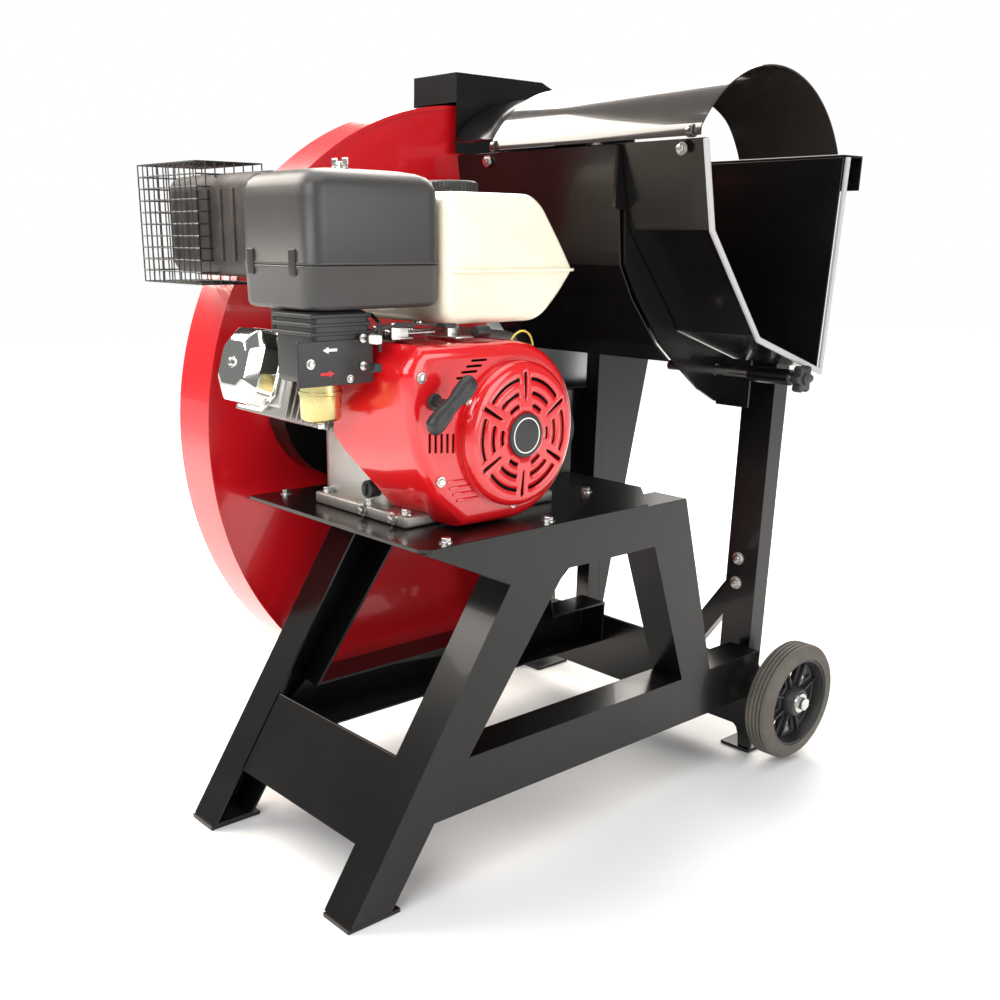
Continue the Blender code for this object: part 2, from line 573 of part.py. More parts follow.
# --- cradle ---------------------------------------------------------------------------------------
def make_cradle():
    pivot = make_pivot("cradle_pivot", (0.0, AXLE_Y, AXLE_Z))
    axle = (AXLE_Y, AXLE_Z)
    post_x1 = POST_X0 + POST_WIDTH
    arm_x1 = TROUGH_X0 + 0.0195
    arm_x0 = arm_x1 - 0.006
    tube_x0, tube_x1 = TROUGH_X0 - 0.0137, 0.180
    bore = cylinder("X", axle, tube_x0 - 0.01, tube_x1 + 0.01, PIVOT_TUBE_R + GAP, 24)

    outer = circle(axle, PIVOT_TUBE_R, 24)
    inner = circle(axle, AXLE_R + GAP, 24)
    finish("pivot_tube", ring_prism(outer, inner, "X", tube_x0, tube_x1), BLACK, pivot, smooth=40)

    outline = arc(axle, ARM_HALF, 180, 360, 12) + [(AXLE_Y + ARM_HALF, POST_TOP), (AXLE_Y - ARM_HALF, POST_TOP)]
    post = finish("cradle_post", prism(outline, "X", POST_X0, post_x1), BLACK, pivot)
    cut(post, block((POST_X0 + POST_WALL, AXLE_Y - ARM_HALF + POST_WALL, AXLE_Z + 0.035),
                    (post_x1 - POST_WALL, AXLE_Y + ARM_HALF - POST_WALL, POST_TOP + 0.01)), pivot)

    brace_slope = 1.458
    join_x = POST_X0 + 0.001
    join_low, join_high = 0.2365, 0.2984
    foot_z = AXLE_Z + 0.012
    outline = [(join_x, join_high), (join_x, join_low), (join_x - (join_low - foot_z) / brace_slope, foot_z),
               (join_x - (join_high - foot_z) / brace_slope, foot_z)]
    join(post, prism(outline, "Y", AXLE_Y - 0.010, AXLE_Y + 0.010), pivot)
    cut(post, bore.copy(), pivot)

    arm_top = 0.80
    lean = 0.196
    rear_low = AXLE_Y + ARM_HALF
    front = AXLE_Y - ARM_HALF
    outline = arc(axle, ARM_HALF, 180, 360, 12)
    outline += [(rear_low + lean * (arm_top - AXLE_Z), arm_top), (front, arm_top)]
    arm = finish("cradle_arm", prism(outline, "X", arm_x0, arm_x1), BLACK, pivot)
    join(arm, block((arm_x0 - 0.025, front, AXLE_Z + 0.05), (arm_x0 + 0.001, front + 0.004, arm_top)), pivot)
    cut(arm, bore, pivot)

    make_trough(pivot)
    make_blade_cover(pivot)
    return pivot


def make_trough(pivot):
    bm = strip(TROUGH_PROFILE, TROUGH_X0, TROUGH_X1)
    face_outwards(bm)
    trough = finish("trough", bm, BLACK, pivot, recalculate=False)
    thicken(trough, TROUGH_SHEET)

    trim_x0 = TROUGH_X1 + GAP
    bm = strip(TROUGH_PROFILE, trim_x0, trim_x0 + 0.006)
    face_outwards(bm)
    thicken(finish("trough_trim", bm, GREY_TRIM, pivot, recalculate=False), 0.008, -0.35)

    skin = strip(SKIN_PROFILE, TROUGH_X0, POST_X0 - SADDLE_THICK - GAP)
    face_outwards(skin)
    thicken(finish("trough_front_panel", skin, BLACK, pivot, recalculate=False), TROUGH_SHEET)
    make_saddle(pivot)

    wall_y, wall_z = TROUGH_PROFILE[-1]
    reach, drop = 0.046, 0.046
    lip_z = wall_z + 0.0015 + GAP
    outline = [(wall_y - 0.002, lip_z), (wall_y + reach, lip_z), (wall_y + reach, lip_z - drop)]
    bm = strip(outline, -0.10, TROUGH_X1)
    face_outwards(bm)
    thicken(finish("push_rail", bm, BLACK, pivot, recalculate=False), TROUGH_SHEET, 0.0)

    rod = (STOP_ROD_Y, STOP_ROD_Z)
    sleeve = ring_prism(circle(rod, 0.012, 16), circle(rod, STOP_ROD_R + GAP, 16), "X",
                        POST_X0 + POST_WIDTH + 0.004, TROUGH_X1 - 0.006)
    finish("stop_sleeve", sleeve, BLACK, pivot, smooth=40)
    stop = make_pivot("stop_pivot", (TROUGH_X1, *rod), pivot)
    finish("stop_rod", cylinder("X", rod, 0.02, TROUGH_X1 + 0.004, STOP_ROD_R, 16), STEEL, stop, smooth=40)
    star = []
    for i in range(6):
        for turn, radius in ((0.0, 0.021), (0.25, 0.020), (0.5, 0.014), (0.75, 0.020)):
            angle = 2 * math.pi * (i + turn) / 6
            star.append((rod[0] + radius * math.cos(angle), rod[1] + radius * math.sin(angle)))
    finish("stop_knob", prism(star, "X", TROUGH_X1 + 0.004 + GAP, TROUGH_X1 + KNOB_REACH), PLASTIC, stop)


def make_saddle(pivot):
    """Curved rib across the trough's underside, with a short cross wall at its foot."""
    near, bend, low, corner, _ = TROUGH_PROFILE
    clear = 0.0012
    inner = [(near[0] - clear, near[1] - 0.003), (bend[0] - clear, bend[1]), (low[0] - clear * 0.7, low[1] - clear),
             (corner[0], corner[1] - clear * 1.2)]
    foot_z = 0.596
    foot = [(AXLE_Y - ARM_HALF - 0.002, corner[1] - clear * 1.2), (AXLE_Y - ARM_HALF - 0.002, foot_z)]
    sweep = [(0.330, 0.604), (0.2875, 0.625), (0.2420, 0.657), (0.1850, 0.701), (0.1260, 0.770), (0.0970, 0.815),
             (0.0900, 0.886), (0.0690, 0.890)]
    outline = inner + foot + sweep + [(near[0] - 0.006, near[1] - 0.003)]
    x0 = POST_X0 - SADDLE_THICK
    rib = finish("saddle_rib", prism(outline, "X", x0, POST_X0), BLACK, pivot)
    wall_y = 0.3345
    join(rib, block((POST_X0 - 0.001, wall_y, 0.599), (POST_X0 + POST_WIDTH, wall_y + 0.004, 0.672)), pivot)
    cut(rib, cylinder("X", (STOP_ROD_Y, STOP_ROD_Z), x0 - 0.05, x0 + 0.10, STOP_ROD_R + 0.001, 16), pivot)


def make_blade_cover(pivot):
    """The guard box that rocks with the cradle and straddles the upper and rear edge of the blade."""
    outer = [(0.085, 1.0506), (0.085, 1.0923), (0.272, 1.0923), (0.4675, 1.02), (0.578, 0.867),
             (COVER_REAR_Y, 0.70), (COVER_REAR_Y, 0.66)]
    inner = [(0.412, 0.66), (0.412, 0.976), (0.085, 0.976)]
    bm = shell_between(outer + inner, len(outer), COVER_X0, COVER_X1)
    cover = finish("blade_cover", bm, BLACK, pivot, recalculate=False)
    thicken(cover, HOUSING_SHEET, 0.0)


def make_hood_bridge(cradle):
    """Fixed arch that closes the gap between the blade cover and the hood."""
    radius = HOOD_R - 0.0082
    near_deg = math.degrees(math.pi - math.asin((0.990 - HOOD_CENTRE[1]) / radius))
    far_deg = math.degrees(math.asin((0.968 - HOOD_CENTRE[1]) / radius))
    bm = strip(arc(HOOD_CENTRE, radius, near_deg, far_deg, 16), COVER_X1 + HOUSING_SHEET / 2 + GAP, HOOD_X0 + 0.035)
    face_outwards(bm)
    thicken(finish("hood_bridge", bm, BLACK, cradle, smooth=50, recalculate=False), HOOD_SHEET)


def make_hood(cradle):
    axis_y, axis_z = 0.066, 0.980
    pivot = make_pivot("hood_pivot", ((HOOD_X0 + HOOD_X1) / 2, axis_y, axis_z), cradle)
    near_deg = math.degrees(math.pi - math.asin((0.985 - HOOD_CENTRE[1]) / HOOD_R))
    far_deg = math.degrees(math.asin((0.9665 - HOOD_CENTRE[1]) / HOOD_R))
    curve = arc(HOOD_CENTRE, HOOD_R, near_deg, far_deg, 20)
    outline = [(curve[0][0], 0.9745)] + curve
    bm = strip(outline, HOOD_X0, HOOD_X1)
    face_outwards(bm)
    hood = finish("hood", bm, BLACK, pivot, smooth=50, recalculate=False)
    thicken(hood, HOOD_SHEET)
    notch = block((HOOD_X0 - 0.01, 0.29, 0.95), (0.085, 0.45, 1.055), 0.05, 4,
                  lambda edge: all(v.co.x > 0.08 for v in edge.verts) and all(v.co.z > 1.05 for v in edge.verts))
    cut(hood, notch, pivot)
    for x in (-0.150, 0.218):
        lug = circle((axis_y, axis_z), 0.008, 12)
        join(hood, prism(lug, "X", x + 0.016, x + 0.026), pivot)


# --- engine ---------------------------------------------------------------------------------------
def along_cylinder(distance, across=0.0):
    """(y, z) at a distance along the tilted cylinder from the crank, and across it."""
    c, s = math.cos(CYLINDER_TILT), math.sin(CYLINDER_TILT)
    return (CRANK_Y - c * distance + s * across, CRANK_Z + s * distance + c * across)


def make_engine():
    make_crankcase()
    make_cylinder()
    make_cowl()
    make_tank()
    make_air_cleaner()
    make_exhaust()
    make_controls()


def make_crankcase():
    base = PLATE_TOP + GAP
    case = finish("crankcase", block((-0.097, -0.285, base + 0.004), (0.0475, -0.035, 0.725), 0.018), ALUMINIUM)
    join(case, block((-0.095, -0.300, base), (0.112, -0.030, base + 0.017)))
    cut(case, block((-0.088, -0.275, base + 0.025), (0.06, -0.045, 0.716)))
    cut(case, cylinder("X", (CRANK_Y, CRANK_Z), -0.12, -0.05, 0.019, 20))


def make_cylinder():
    """Finned cylinder and head, drawn on the tilted cylinder axis."""
    start, end, fins = 0.160, 0.255, 8
    half, root = 0.055, 0.042
    pitch = (end - start) / fins
    upper, lower = [], []
    for i in range(fins):
        near = start + i * pitch
        for distance, across in ((near, half), (near + pitch * 0.45, half), (near + pitch * 0.45, root),
                                 (near + pitch, root)):
            upper.append(along_cylinder(distance, across))
            lower.append(along_cylinder(distance, -across))
    outline = upper + list(reversed(lower))
    finish("cylinder_head", prism(outline, "X", CYLINDER_X - 0.060, CYLINDER_X + 0.060), ALUMINIUM)

    deep = 0.043
    half_x, half_n, corner = 0.050, 0.052, 0.022
    shape = [(-half_x, -half_n + corner), (-half_x, half_n - corner), (-half_x + corner, half_n),
             (half_x - corner, half_n), (half_x, half_n - corner), (half_x, -half_n + corner),
             (half_x - corner, -half_n), (-half_x + corner, -half_n)]
    bm = bmesh.new()
    base = end + GAP
    for distance, scale in ((base, 1.0), (base + deep * 0.72, 0.96), (base + deep, 0.72)):
        for x, across in shape:
            bm.verts.new((CYLINDER_X - 0.010 + x * scale, *along_cylinder(distance, across * scale)))
    bm.verts.ensure_lookup_table()
    rings = [list(bm.verts)[i * 8:(i + 1) * 8] for i in range(3)]
    bm.faces.new(rings[0])
    bm.faces.new(rings[2])
    for first, second in zip(rings, rings[1:]):
        for i in range(8):
            bm.faces.new((first[i], first[(i + 1) % 8], second[(i + 1) % 8], second[i]))
    finish("rocker_cover", bm, CHROME)


def inset(outline, distance):
    """A closed outline, drawn anticlockwise, moved inwards by a distance."""
    points = []
    for i, corner in enumerate(outline):
        here = Vector(corner)
        before = (here - Vector(outline[i - 1])).normalized()
        after = (Vector(outline[(i + 1) % len(outline)]) - here).normalized()
        mitre = Vector((-before.y - after.y, before.x + after.x)).normalized()
        stretch = max(mitre.dot(Vector((-after.y, after.x))), 0.5)
        points.append(tuple(here + mitre * distance / stretch))
    return points


def skin_rings(rings):
    """A closed solid through rings (x, outline) that all have the same number of points."""
    bm = bmesh.new()
    loops = [[bm.verts.new((x, *point)) for point in outline] for x, outline in rings]
    bm.faces.new(loops[0])
    bm.faces.new(loops[-1])
    for first, second in zip(loops, loops[1:]):
        for i in range(len(first)):
            j = (i + 1) % len(first)
            bm.faces.new((first[i], first[j], second[j], second[i]))
    bmesh.ops.recalc_face_normals(bm, faces=bm.faces)
    return bm


COWL_BACK = [(-0.200, 0.4915), (-0.262, 0.496), (-0.302, 0.540), (-0.349, 0.590), (-0.366, 0.614), (-0.366, 0.650),
             (-0.352, 0.680), (-0.350, 0.724), (-0.343, 0.7305), (-0.175, 0.7270)]
COWL_FRONT = [(-0.205, 0.4925), (-0.248, 0.4945), (-0.295, 0.545), (-0.322, 0.596), (-0.332, 0.630),
              (-0.338, 0.665), (-0.340, 0.690), (-0.338, 0.702), (-0.316, 0.7265), (-0.195, 0.7245)]


def cowl_outline(nose, radius):
    """The fan's round housing with the nose that leads its air to the cylinder."""
    rise = PLATE_TOP - 0.490
    round_part = arc((CRANK_Y, CRANK_Z), radius, 90, -96, 24)
    return list(reversed(round_part + [(y, z + rise) for y, z in nose]))


def make_cowl():
    back, front = cowl_outline(COWL_BACK, COWL_R + 0.0015), cowl_outline(COWL_FRONT, COWL_R)
    rounding = 0.016
    shoulder = COWL_X1 - rounding
    rings = [(COWL_X0, back), (shoulder, front), (COWL_X1 - rounding * 0.29, inset(front, rounding * 0.29)),
             (COWL_X1, inset(front, rounding))]
    hollow = [(COWL_X0 - 0.001, inset(back, SHELL)), (shoulder - SHELL, inset(front, SHELL)),
              (COWL_X1 - SHELL, inset(front, rounding + SHELL))]
    cowl = finish("fan_cowl", skin_rings(rings), RED, smooth=50)
    cut(cowl, skin_rings(hollow))
    cut(cowl, cylinder("X", (CRANK_Y, CRANK_Z), COWL_X1 - 0.03, COWL_X1 + 0.01, RECOIL_R - 0.014, 36))
    base = PLATE_TOP + GAP
    cut(cowl, block((COWL_X0 - 0.01, CRANK_Y - 0.16, base - 0.01), (0.1125, CRANK_Y + 0.14, base + 0.0175)))

    x0 = COWL_X1 + GAP
    profile = [(RECOIL_X1 - 0.002, 0.0), (RECOIL_X1 - 0.002, RECOIL_R - 0.016), (x0 + 0.008, RECOIL_R - 0.006),
               (x0, RECOIL_R - 0.006),
               (x0, RECOIL_R), (x0 + 0.010, RECOIL_R), (RECOIL_X1, RECOIL_R - 0.010),
               (RECOIL_X1 + 0.002, 0.036), (RECOIL_X1 + 0.005, 0.034), (RECOIL_X1 + 0.005, 0.0)]
    finish("recoil_cover", lathe(profile, (CRANK_Y, CRANK_Z), 40), RED, smooth=50)

    grip_y, grip_z = -0.2990, CRANK_Z + 0.0515
    handle = make_pivot("pull_pivot", (0.200, grip_y, grip_z))
    tilt = Matrix.Rotation(math.radians(-50), 4, "X")
    bm = block((-0.010, -0.013, -0.043), (0.010, 0.013, 0.043), 0.006)
    bmesh.ops.transform(bm, matrix=tilt, verts=bm.verts)
    bmesh.ops.translate(bm, verts=bm.verts, vec=Vector(handle["place"]))
    grip = finish("pull_handle", bm, PLASTIC, handle, smooth=50)
    join(grip, cylinder("X", (grip_y, grip_z), COWL_X1 + GAP, 0.195, 0.006, 12), handle)


def make_tank():
    low, seam, top = 0.7445, 0.809, 0.903
    x0, x1, y0, y1 = -0.130, 0.120, -0.2445, -0.012
    profile = [(y0, low), (-0.075, low), (-0.040, 0.775), (y1 - 0.003, seam - 0.004), (y1 - 0.003, seam + 0.004),
               (-0.0396, 0.847), (-0.0738, 0.890), (-0.095, top), (y0 + 0.012, top), (y0, top - 0.012)]

    def rounded_prism(outline, margin, radius):
        shape = prism(outline, "X", x0 + margin, x1 - margin)
        ends = [edge for edge in shape.edges if abs(edge.verts[0].co.x - edge.verts[1].co.x) < 1e-6]
        bmesh.ops.bevel(shape, geom=ends, offset=radius, segments=3, profile=0.5, affect="EDGES", material=-1,
                        clamp_overlap=True)
        return shape

    body = finish("fuel_tank", rounded_prism(profile, 0.0, 0.012), CREAM, smooth=50)
    join(body, block((x0 - 0.006, y0 + 0.001, seam - 0.002), (x1 + 0.006, y1 + 0.007, seam + 0.002), 0.026, 3,
                     lambda edge: abs(edge.verts[0].co.z - edge.verts[1].co.z) > 0.001))
    cut(body, rounded_prism(inset(profile, SHELL), SHELL, 0.010))
    cap_x, cap_y = 0.020, -0.150
    cut(body, cylinder("Z", (cap_x, cap_y), top - 0.02, top + 0.01, 0.022, 20))
    pivot = make_pivot("fuel_cap_pivot", (cap_x, cap_y, top))
    bm = cylinder("Z", (cap_x, cap_y), top + GAP, top + 0.017, 0.037, 28)
    finish("fuel_cap", bm, PLASTIC, pivot, smooth=50)


def make_air_cleaner():
    x0, x1, y0, y1 = -0.033, 0.123, -0.444, -0.2455
    low, split, top = 0.768, 0.818, 0.921

    def upright(edge):
        return abs(edge.verts[0].co.z - edge.verts[1].co.z) > 0.001

    box = finish("air_cleaner_box", block((x0, y0, low), (x1, y1, split - GAP), 0.022, 3, upright), DARK_GREY,
                 smooth=50)
    cut(box, block((x0 + SHELL, y0 + SHELL, low + SHELL), (x1 - SHELL, y1 - SHELL, split + 0.01), 0.020, 2, upright))
    cover = block((x0, y0, split), (x1, y1, top + 0.03), 0.022, 3, upright)
    bmesh.ops.bisect_plane(cover, geom=cover.verts[:] + cover.edges[:] + cover.faces[:], clear_outer=True,
                           plane_co=(0.0, 0.0, top), plane_no=(0.0, 0.0, 1.0))
    bmesh.ops.holes_fill(cover, edges=[edge for edge in cover.edges if edge.is_boundary])
    rim = [edge for edge in cover.edges if all(abs(v.co.z - top) < 1e-5 for v in edge.verts)]
    bmesh.ops.bevel(cover, geom=rim, offset=0.009, segments=2, profile=0.5, affect="EDGES", material=-1)
    lid = finish("air_cleaner_cover", cover, DARK_GREY, smooth=50)
    cut(lid, block((x0 + SHELL, y0 + SHELL, split - 0.01), (x1 - SHELL, y1 - SHELL, top - 0.004), 0.020, 2, upright))
    centre = ((x0 + x1) / 2, (y0 + y1) / 2)
    element = ring_prism(circle(centre, 0.058, 24), circle(centre, 0.034, 24), "Z", low + 0.004, top - 0.012)
    finish("air_filter", element, FILTER, smooth=40)

    neck_y = -0.3545
    neck = finish("intake_elbow", block((0.035, -0.440, 0.683), (0.1175, neck_y, low - GAP), 0.006), PLASTIC,
                  smooth=50)
    join(neck, block((0.1165, -0.463, 0.683), (0.120, neck_y, 0.735)))
    cut(neck, block((0.041, -0.434, 0.689), (0.1115, neck_y - 0.006, low + 0.01)))
    bowl = lathe_z([(0.633, 0.0), (0.633, 0.022), (0.638, 0.026), (0.6827, 0.026), (0.6827, 0.0)], (0.075, -0.402))
    finish("carburettor", bowl, ZINC, smooth=50)


def lathe_z(profile, centre, count=24):
    """Turns (z, radius) points round an upright axis through centre (x, y)."""
    bm = lathe(profile, (0.0, 0.0), count)
    upright = Matrix(((0.0, 1.0, 0.0, centre[0]), (0.0, 0.0, 1.0, centre[1]), (1.0, 0.0, 0.0, 0.0),
                      (0.0, 0.0, 0.0, 1.0)))
    bmesh.ops.transform(bm, matrix=upright, verts=bm.verts)
    return bm


def make_exhaust():
    low, high = (-0.285, -0.408, 0.800), (-0.052, -0.330, 0.925)
    muffler = finish("muffler", block(low, high, 0.018), BLACK, smooth=50)
    wall = 0.002
    cut(muffler, block([v + wall for v in low], [v - wall for v in high], 0.016))
    cut(muffler, cylinder("Y", (-0.24, 0.86), -0.42, -0.39, 0.012, 16))

    sides = [(-0.425, 0.788), (-0.425, 0.940), (-0.326, 0.940), (-0.326, 0.788)]
    bm = shell_between(sides, len(sides) + 1, -0.160, -0.322, back=False)
    bmesh.ops.recalc_face_normals(bm, faces=bm.faces)
    cage = finish("muffler_cage", bm, STEEL)
    thicken(cage, 0.0015, 0.0)


def make_controls():
    reach = 0.034
    for name, z in (("choke_lever", 0.736), ("fuel_lever", 0.704)):
        pivot = make_pivot(f"{name}_pivot", (0.126, -0.372, z))
        bm = block((0.1203, -0.376, z - 0.005), (0.120 + reach, -0.368, z + 0.005), 0.002, 1)
        finish(name, bm, PLASTIC, pivot)
    pivot = make_pivot("throttle_pivot", (0.085, -0.258, 0.746))
    bm = block((0.075, -0.267, 0.7445), (0.150, -0.249, 0.7475), 0.001, 1)
    finish("throttle_lever", bm, STEEL, pivot)


make_stand()
make_wheels()
make_drive()
make_housing()
CRADLE = make_cradle()
make_hood_bridge(CRADLE)
make_hood(CRADLE)
make_engine()
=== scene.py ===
# %% [markdown]
# # A petrol log saw, one piece at a time
# This lesson dresses a working CAD model of a rocking log saw. The CAD parts already have the right
# place and size, and they move. Here each visible piece gets its finish, and the pieces with fine
# shapes, such as a starter cover or a wire cage, are modelled again in full.

# %% Load the frame
import math

import bmesh
import bpy
from mathutils import Matrix, Vector


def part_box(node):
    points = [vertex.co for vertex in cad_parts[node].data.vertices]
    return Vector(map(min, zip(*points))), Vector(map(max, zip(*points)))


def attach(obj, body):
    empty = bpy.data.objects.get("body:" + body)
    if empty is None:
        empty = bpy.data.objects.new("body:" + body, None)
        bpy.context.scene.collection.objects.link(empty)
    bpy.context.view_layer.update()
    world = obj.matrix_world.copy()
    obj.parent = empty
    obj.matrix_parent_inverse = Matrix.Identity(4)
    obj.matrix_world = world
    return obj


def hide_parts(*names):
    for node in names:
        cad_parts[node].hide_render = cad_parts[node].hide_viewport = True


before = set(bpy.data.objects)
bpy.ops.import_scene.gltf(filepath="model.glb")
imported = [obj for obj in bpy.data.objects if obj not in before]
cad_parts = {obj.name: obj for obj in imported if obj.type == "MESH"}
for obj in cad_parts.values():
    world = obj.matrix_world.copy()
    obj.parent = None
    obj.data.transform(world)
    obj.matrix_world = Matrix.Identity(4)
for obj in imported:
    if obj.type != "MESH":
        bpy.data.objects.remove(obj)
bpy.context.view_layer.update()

# %% [markdown]
# ## Where things are
# Every place below is measured from one datum: the middle of the stand at floor level, level with
# the front edge of the engine plate plus 350 mm. It is read from the CAD parts, so the looks follow
# the design. The two shafts are found the same way, from the parts that turn on them.

# %% Datum and shaft centres
LEFT_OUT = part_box("side_frame_left")[0]
RIGHT_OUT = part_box("side_frame_right")[1]
PLATE_LOW, PLATE_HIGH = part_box("engine_plate")
DATUM = Vector(((LEFT_OUT.x + RIGHT_OUT.x) / 2, PLATE_LOW.y + 0.350, 0.0))


def middle_of(node):
    low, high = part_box(node)
    return (low + high) / 2 - DATUM


CRANK = middle_of("flywheel")
ARBOR = middle_of("saw_blade")
AXLE = middle_of("wheel_axle")
PLATE_TOP = PLATE_HIGH.z
print("crank", CRANK, "arbor", ARBOR, "axle", AXLE)

# %% [markdown]
# ## Shaping helpers
# Each helper starts a bmesh from one of Blender's own shapes and returns it, so a piece is made by
# gathering a few of them. They all work in millimetre-true metres from the datum, and `piece` moves
# the finished mesh to the record's frame, gives it a material and ties it to the body it moves with.

# %% Helpers for bmesh shapes
AXES = {"X": 0, "Y": 1, "Z": 2}


def on_axis(axis, along, point):
    place = list(point)
    place.insert(AXES[axis], along)
    return Vector(place)


def gather(*shapes):
    whole = bmesh.new()
    for shape in shapes:
        mesh = bpy.data.meshes.new("part")
        shape.to_mesh(mesh)
        shape.free()
        whole.from_mesh(mesh)
        bpy.data.meshes.remove(mesh)
    return whole


def soften(shape, width, segments=3, edges=None):
    chosen = [edge for edge in shape.edges if edges is None or edges(edge)]
    bmesh.ops.bevel(shape, geom=chosen, offset=width, segments=segments, profile=0.5,
                    affect="EDGES", material=-1)
    return shape


def block(low, high, bevel=0.0, segments=3, edges=None):
    shape = bmesh.new()
    bmesh.ops.create_cube(shape, size=1.0)
    low, high = Vector(low), Vector(high)
    bmesh.ops.scale(shape, vec=high - low, verts=shape.verts)
    bmesh.ops.translate(shape, vec=(low + high) / 2, verts=shape.verts)
    return soften(shape, bevel, segments, edges) if bevel else shape


def drum(axis, centre, low, high, radius, sides=32, bevel=0.0, top=None):
    """A cylinder along an axis, between two heights, round a 2-D centre; top gives it a taper."""
    shape = bmesh.new()
    bmesh.ops.create_cone(shape, cap_ends=True, segments=sides, radius1=radius,
                          radius2=radius if top is None else top, depth=high - low)
    turn = {"X": Matrix.Rotation(math.radians(90), 4, "Y"), "Z": Matrix.Identity(4),
            "Y": Matrix.Rotation(math.radians(-90), 4, "X")}[axis]
    bmesh.ops.transform(shape, matrix=turn, verts=shape.verts)
    bmesh.ops.translate(shape, vec=on_axis(axis, (low + high) / 2, centre), verts=shape.verts)
    if bevel:
        soften(shape, bevel, 2, lambda edge: len(edge.link_faces) == 2 and edge.calc_face_angle() > 1.2)
    return shape


def turned(profile, centre, steps=64, closed=False):
    """Spins (x, radius) points round the X axis that passes through centre (y, z)."""
    shape = bmesh.new()
    points = [shape.verts.new((x, centre[0] + radius, centre[1])) for x, radius in profile]
    edges = [shape.edges.new(pair) for pair in zip(points, points[1:])]
    if closed:
        edges.append(shape.edges.new((points[-1], points[0])))
    bmesh.ops.spin(shape, geom=points + edges, cent=(0.0, *centre), axis=(1.0, 0.0, 0.0),
                   angle=2 * math.pi, steps=steps, use_merge=True)
    bmesh.ops.remove_doubles(shape, verts=shape.verts, dist=1e-6)
    bmesh.ops.recalc_face_normals(shape, faces=shape.faces)
    return shape


def turned_upright(profile, centre, steps=48, closed=False):
    """Spins (z, radius) points round an upright axis at centre (x, y)."""
    shape = turned(profile, (0.0, 0.0), steps, closed)
    upright = Matrix(((0.0, 1.0, 0.0, centre[0]), (0.0, 0.0, 1.0, centre[1]),
                      (1.0, 0.0, 0.0, 0.0), (0.0, 0.0, 0.0, 1.0)))
    bmesh.ops.transform(shape, matrix=upright, verts=shape.verts)
    return shape


def slab(outline, axis, low, high, bevel=0.0, segments=2):
    shape = bmesh.new()
    face = shape.faces.new([shape.verts.new(on_axis(axis, low, point)) for point in outline])
    grown = bmesh.ops.extrude_face_region(shape, geom=[face])
    moved = [item for item in grown["geom"] if isinstance(item, bmesh.types.BMVert)]
    bmesh.ops.translate(shape, verts=moved, vec=on_axis(axis, high - low, (0.0, 0.0)))
    bmesh.ops.recalc_face_normals(shape, faces=shape.faces)
    return soften(shape, bevel, segments) if bevel else shape


def strip(outline, axis, low, high):
    """A bent sheet without thickness, drawn out along an axis and looking outwards."""
    shape = bmesh.new()
    points = [shape.verts.new(on_axis(axis, low, point)) for point in outline]
    edges = [shape.edges.new(pair) for pair in zip(points, points[1:])]
    grown = bmesh.ops.extrude_edge_only(shape, edges=edges)
    moved = [item for item in grown["geom"] if isinstance(item, bmesh.types.BMVert)]
    bmesh.ops.translate(shape, verts=moved, vec=on_axis(axis, high - low, (0.0, 0.0)))
    return outward(shape)


def outward(shape):
    bmesh.ops.recalc_face_normals(shape, faces=shape.faces)
    middle = sum((vert.co for vert in shape.verts), Vector()) / len(shape.verts)
    facing = sum(face.calc_area() * face.normal.dot(face.calc_center_median() - middle)
                 for face in shape.faces)
    if facing < 0:
        bmesh.ops.reverse_faces(shape, faces=shape.faces)
    return shape


def arc(centre, radius, start_deg, end_deg, count):
    points = []
    for i in range(count + 1):
        angle = math.radians(start_deg + (end_deg - start_deg) * i / count)
        points.append((centre[0] + radius * math.cos(angle), centre[1] + radius * math.sin(angle)))
    return points


def rounded(outline, radius, count=4):
    """Replaces the corners of a closed outline with small arcs."""
    points = []
    for i, corner in enumerate(outline):
        here = Vector(corner)
        before, after = Vector(outline[i - 1]), Vector(outline[(i + 1) % len(outline)])
        to_before, to_after = (before - here).normalized(), (after - here).normalized()
        reach = min(radius, (before - here).length * 0.45, (after - here).length * 0.45)
        for step in range(count + 1):
            t = step / count
            near, far = here + to_before * reach, here + to_after * reach
            points.append(tuple((1 - t) ** 2 * near + 2 * t * (1 - t) * here + t * t * far))
    return points


def tower(outline, levels, cap_low=True, cap_high=True):
    """Rings of one outline (x, y) stacked at levels (z, scale_x, scale_y), skinned and capped."""
    shape = bmesh.new()
    base = [shape.verts.new((x * levels[0][1], y * levels[0][2], levels[0][0])) for x, y in outline]
    ring = [shape.edges.new(pair) for pair in zip(base, base[1:] + base[:1])]
    if cap_low:
        shape.faces.new(base)
    for below, level in zip(levels, levels[1:]):
        grown = bmesh.ops.extrude_edge_only(shape, edges=ring)["geom"]
        verts = [item for item in grown if isinstance(item, bmesh.types.BMVert)]
        ring = [item for item in grown if isinstance(item, bmesh.types.BMEdge)
                and all(vert in verts for vert in item.verts)]
        bmesh.ops.scale(shape, verts=verts, vec=(level[1] / below[1], level[2] / below[2], 1.0))
        bmesh.ops.translate(shape, verts=verts, vec=(0.0, 0.0, level[0] - below[0]))
    if cap_high:
        bmesh.ops.contextual_create(shape, geom=ring)
    bmesh.ops.recalc_face_normals(shape, faces=shape.faces)
    return shape


def opened(shape, is_gap):
    gaps = [face for face in shape.faces if is_gap(face.calc_center_median())]
    bmesh.ops.delete(shape, geom=gaps, context="FACES")
    return shape


def aim(shape, place, direction):
    """Turns a shape that points along +Z to a direction, and moves it to a place."""
    turn = Vector(direction).to_track_quat("Z", "Y").to_matrix().to_4x4()
    bmesh.ops.transform(shape, matrix=Matrix.Translation(place) @ turn, verts=shape.verts)
    return shape


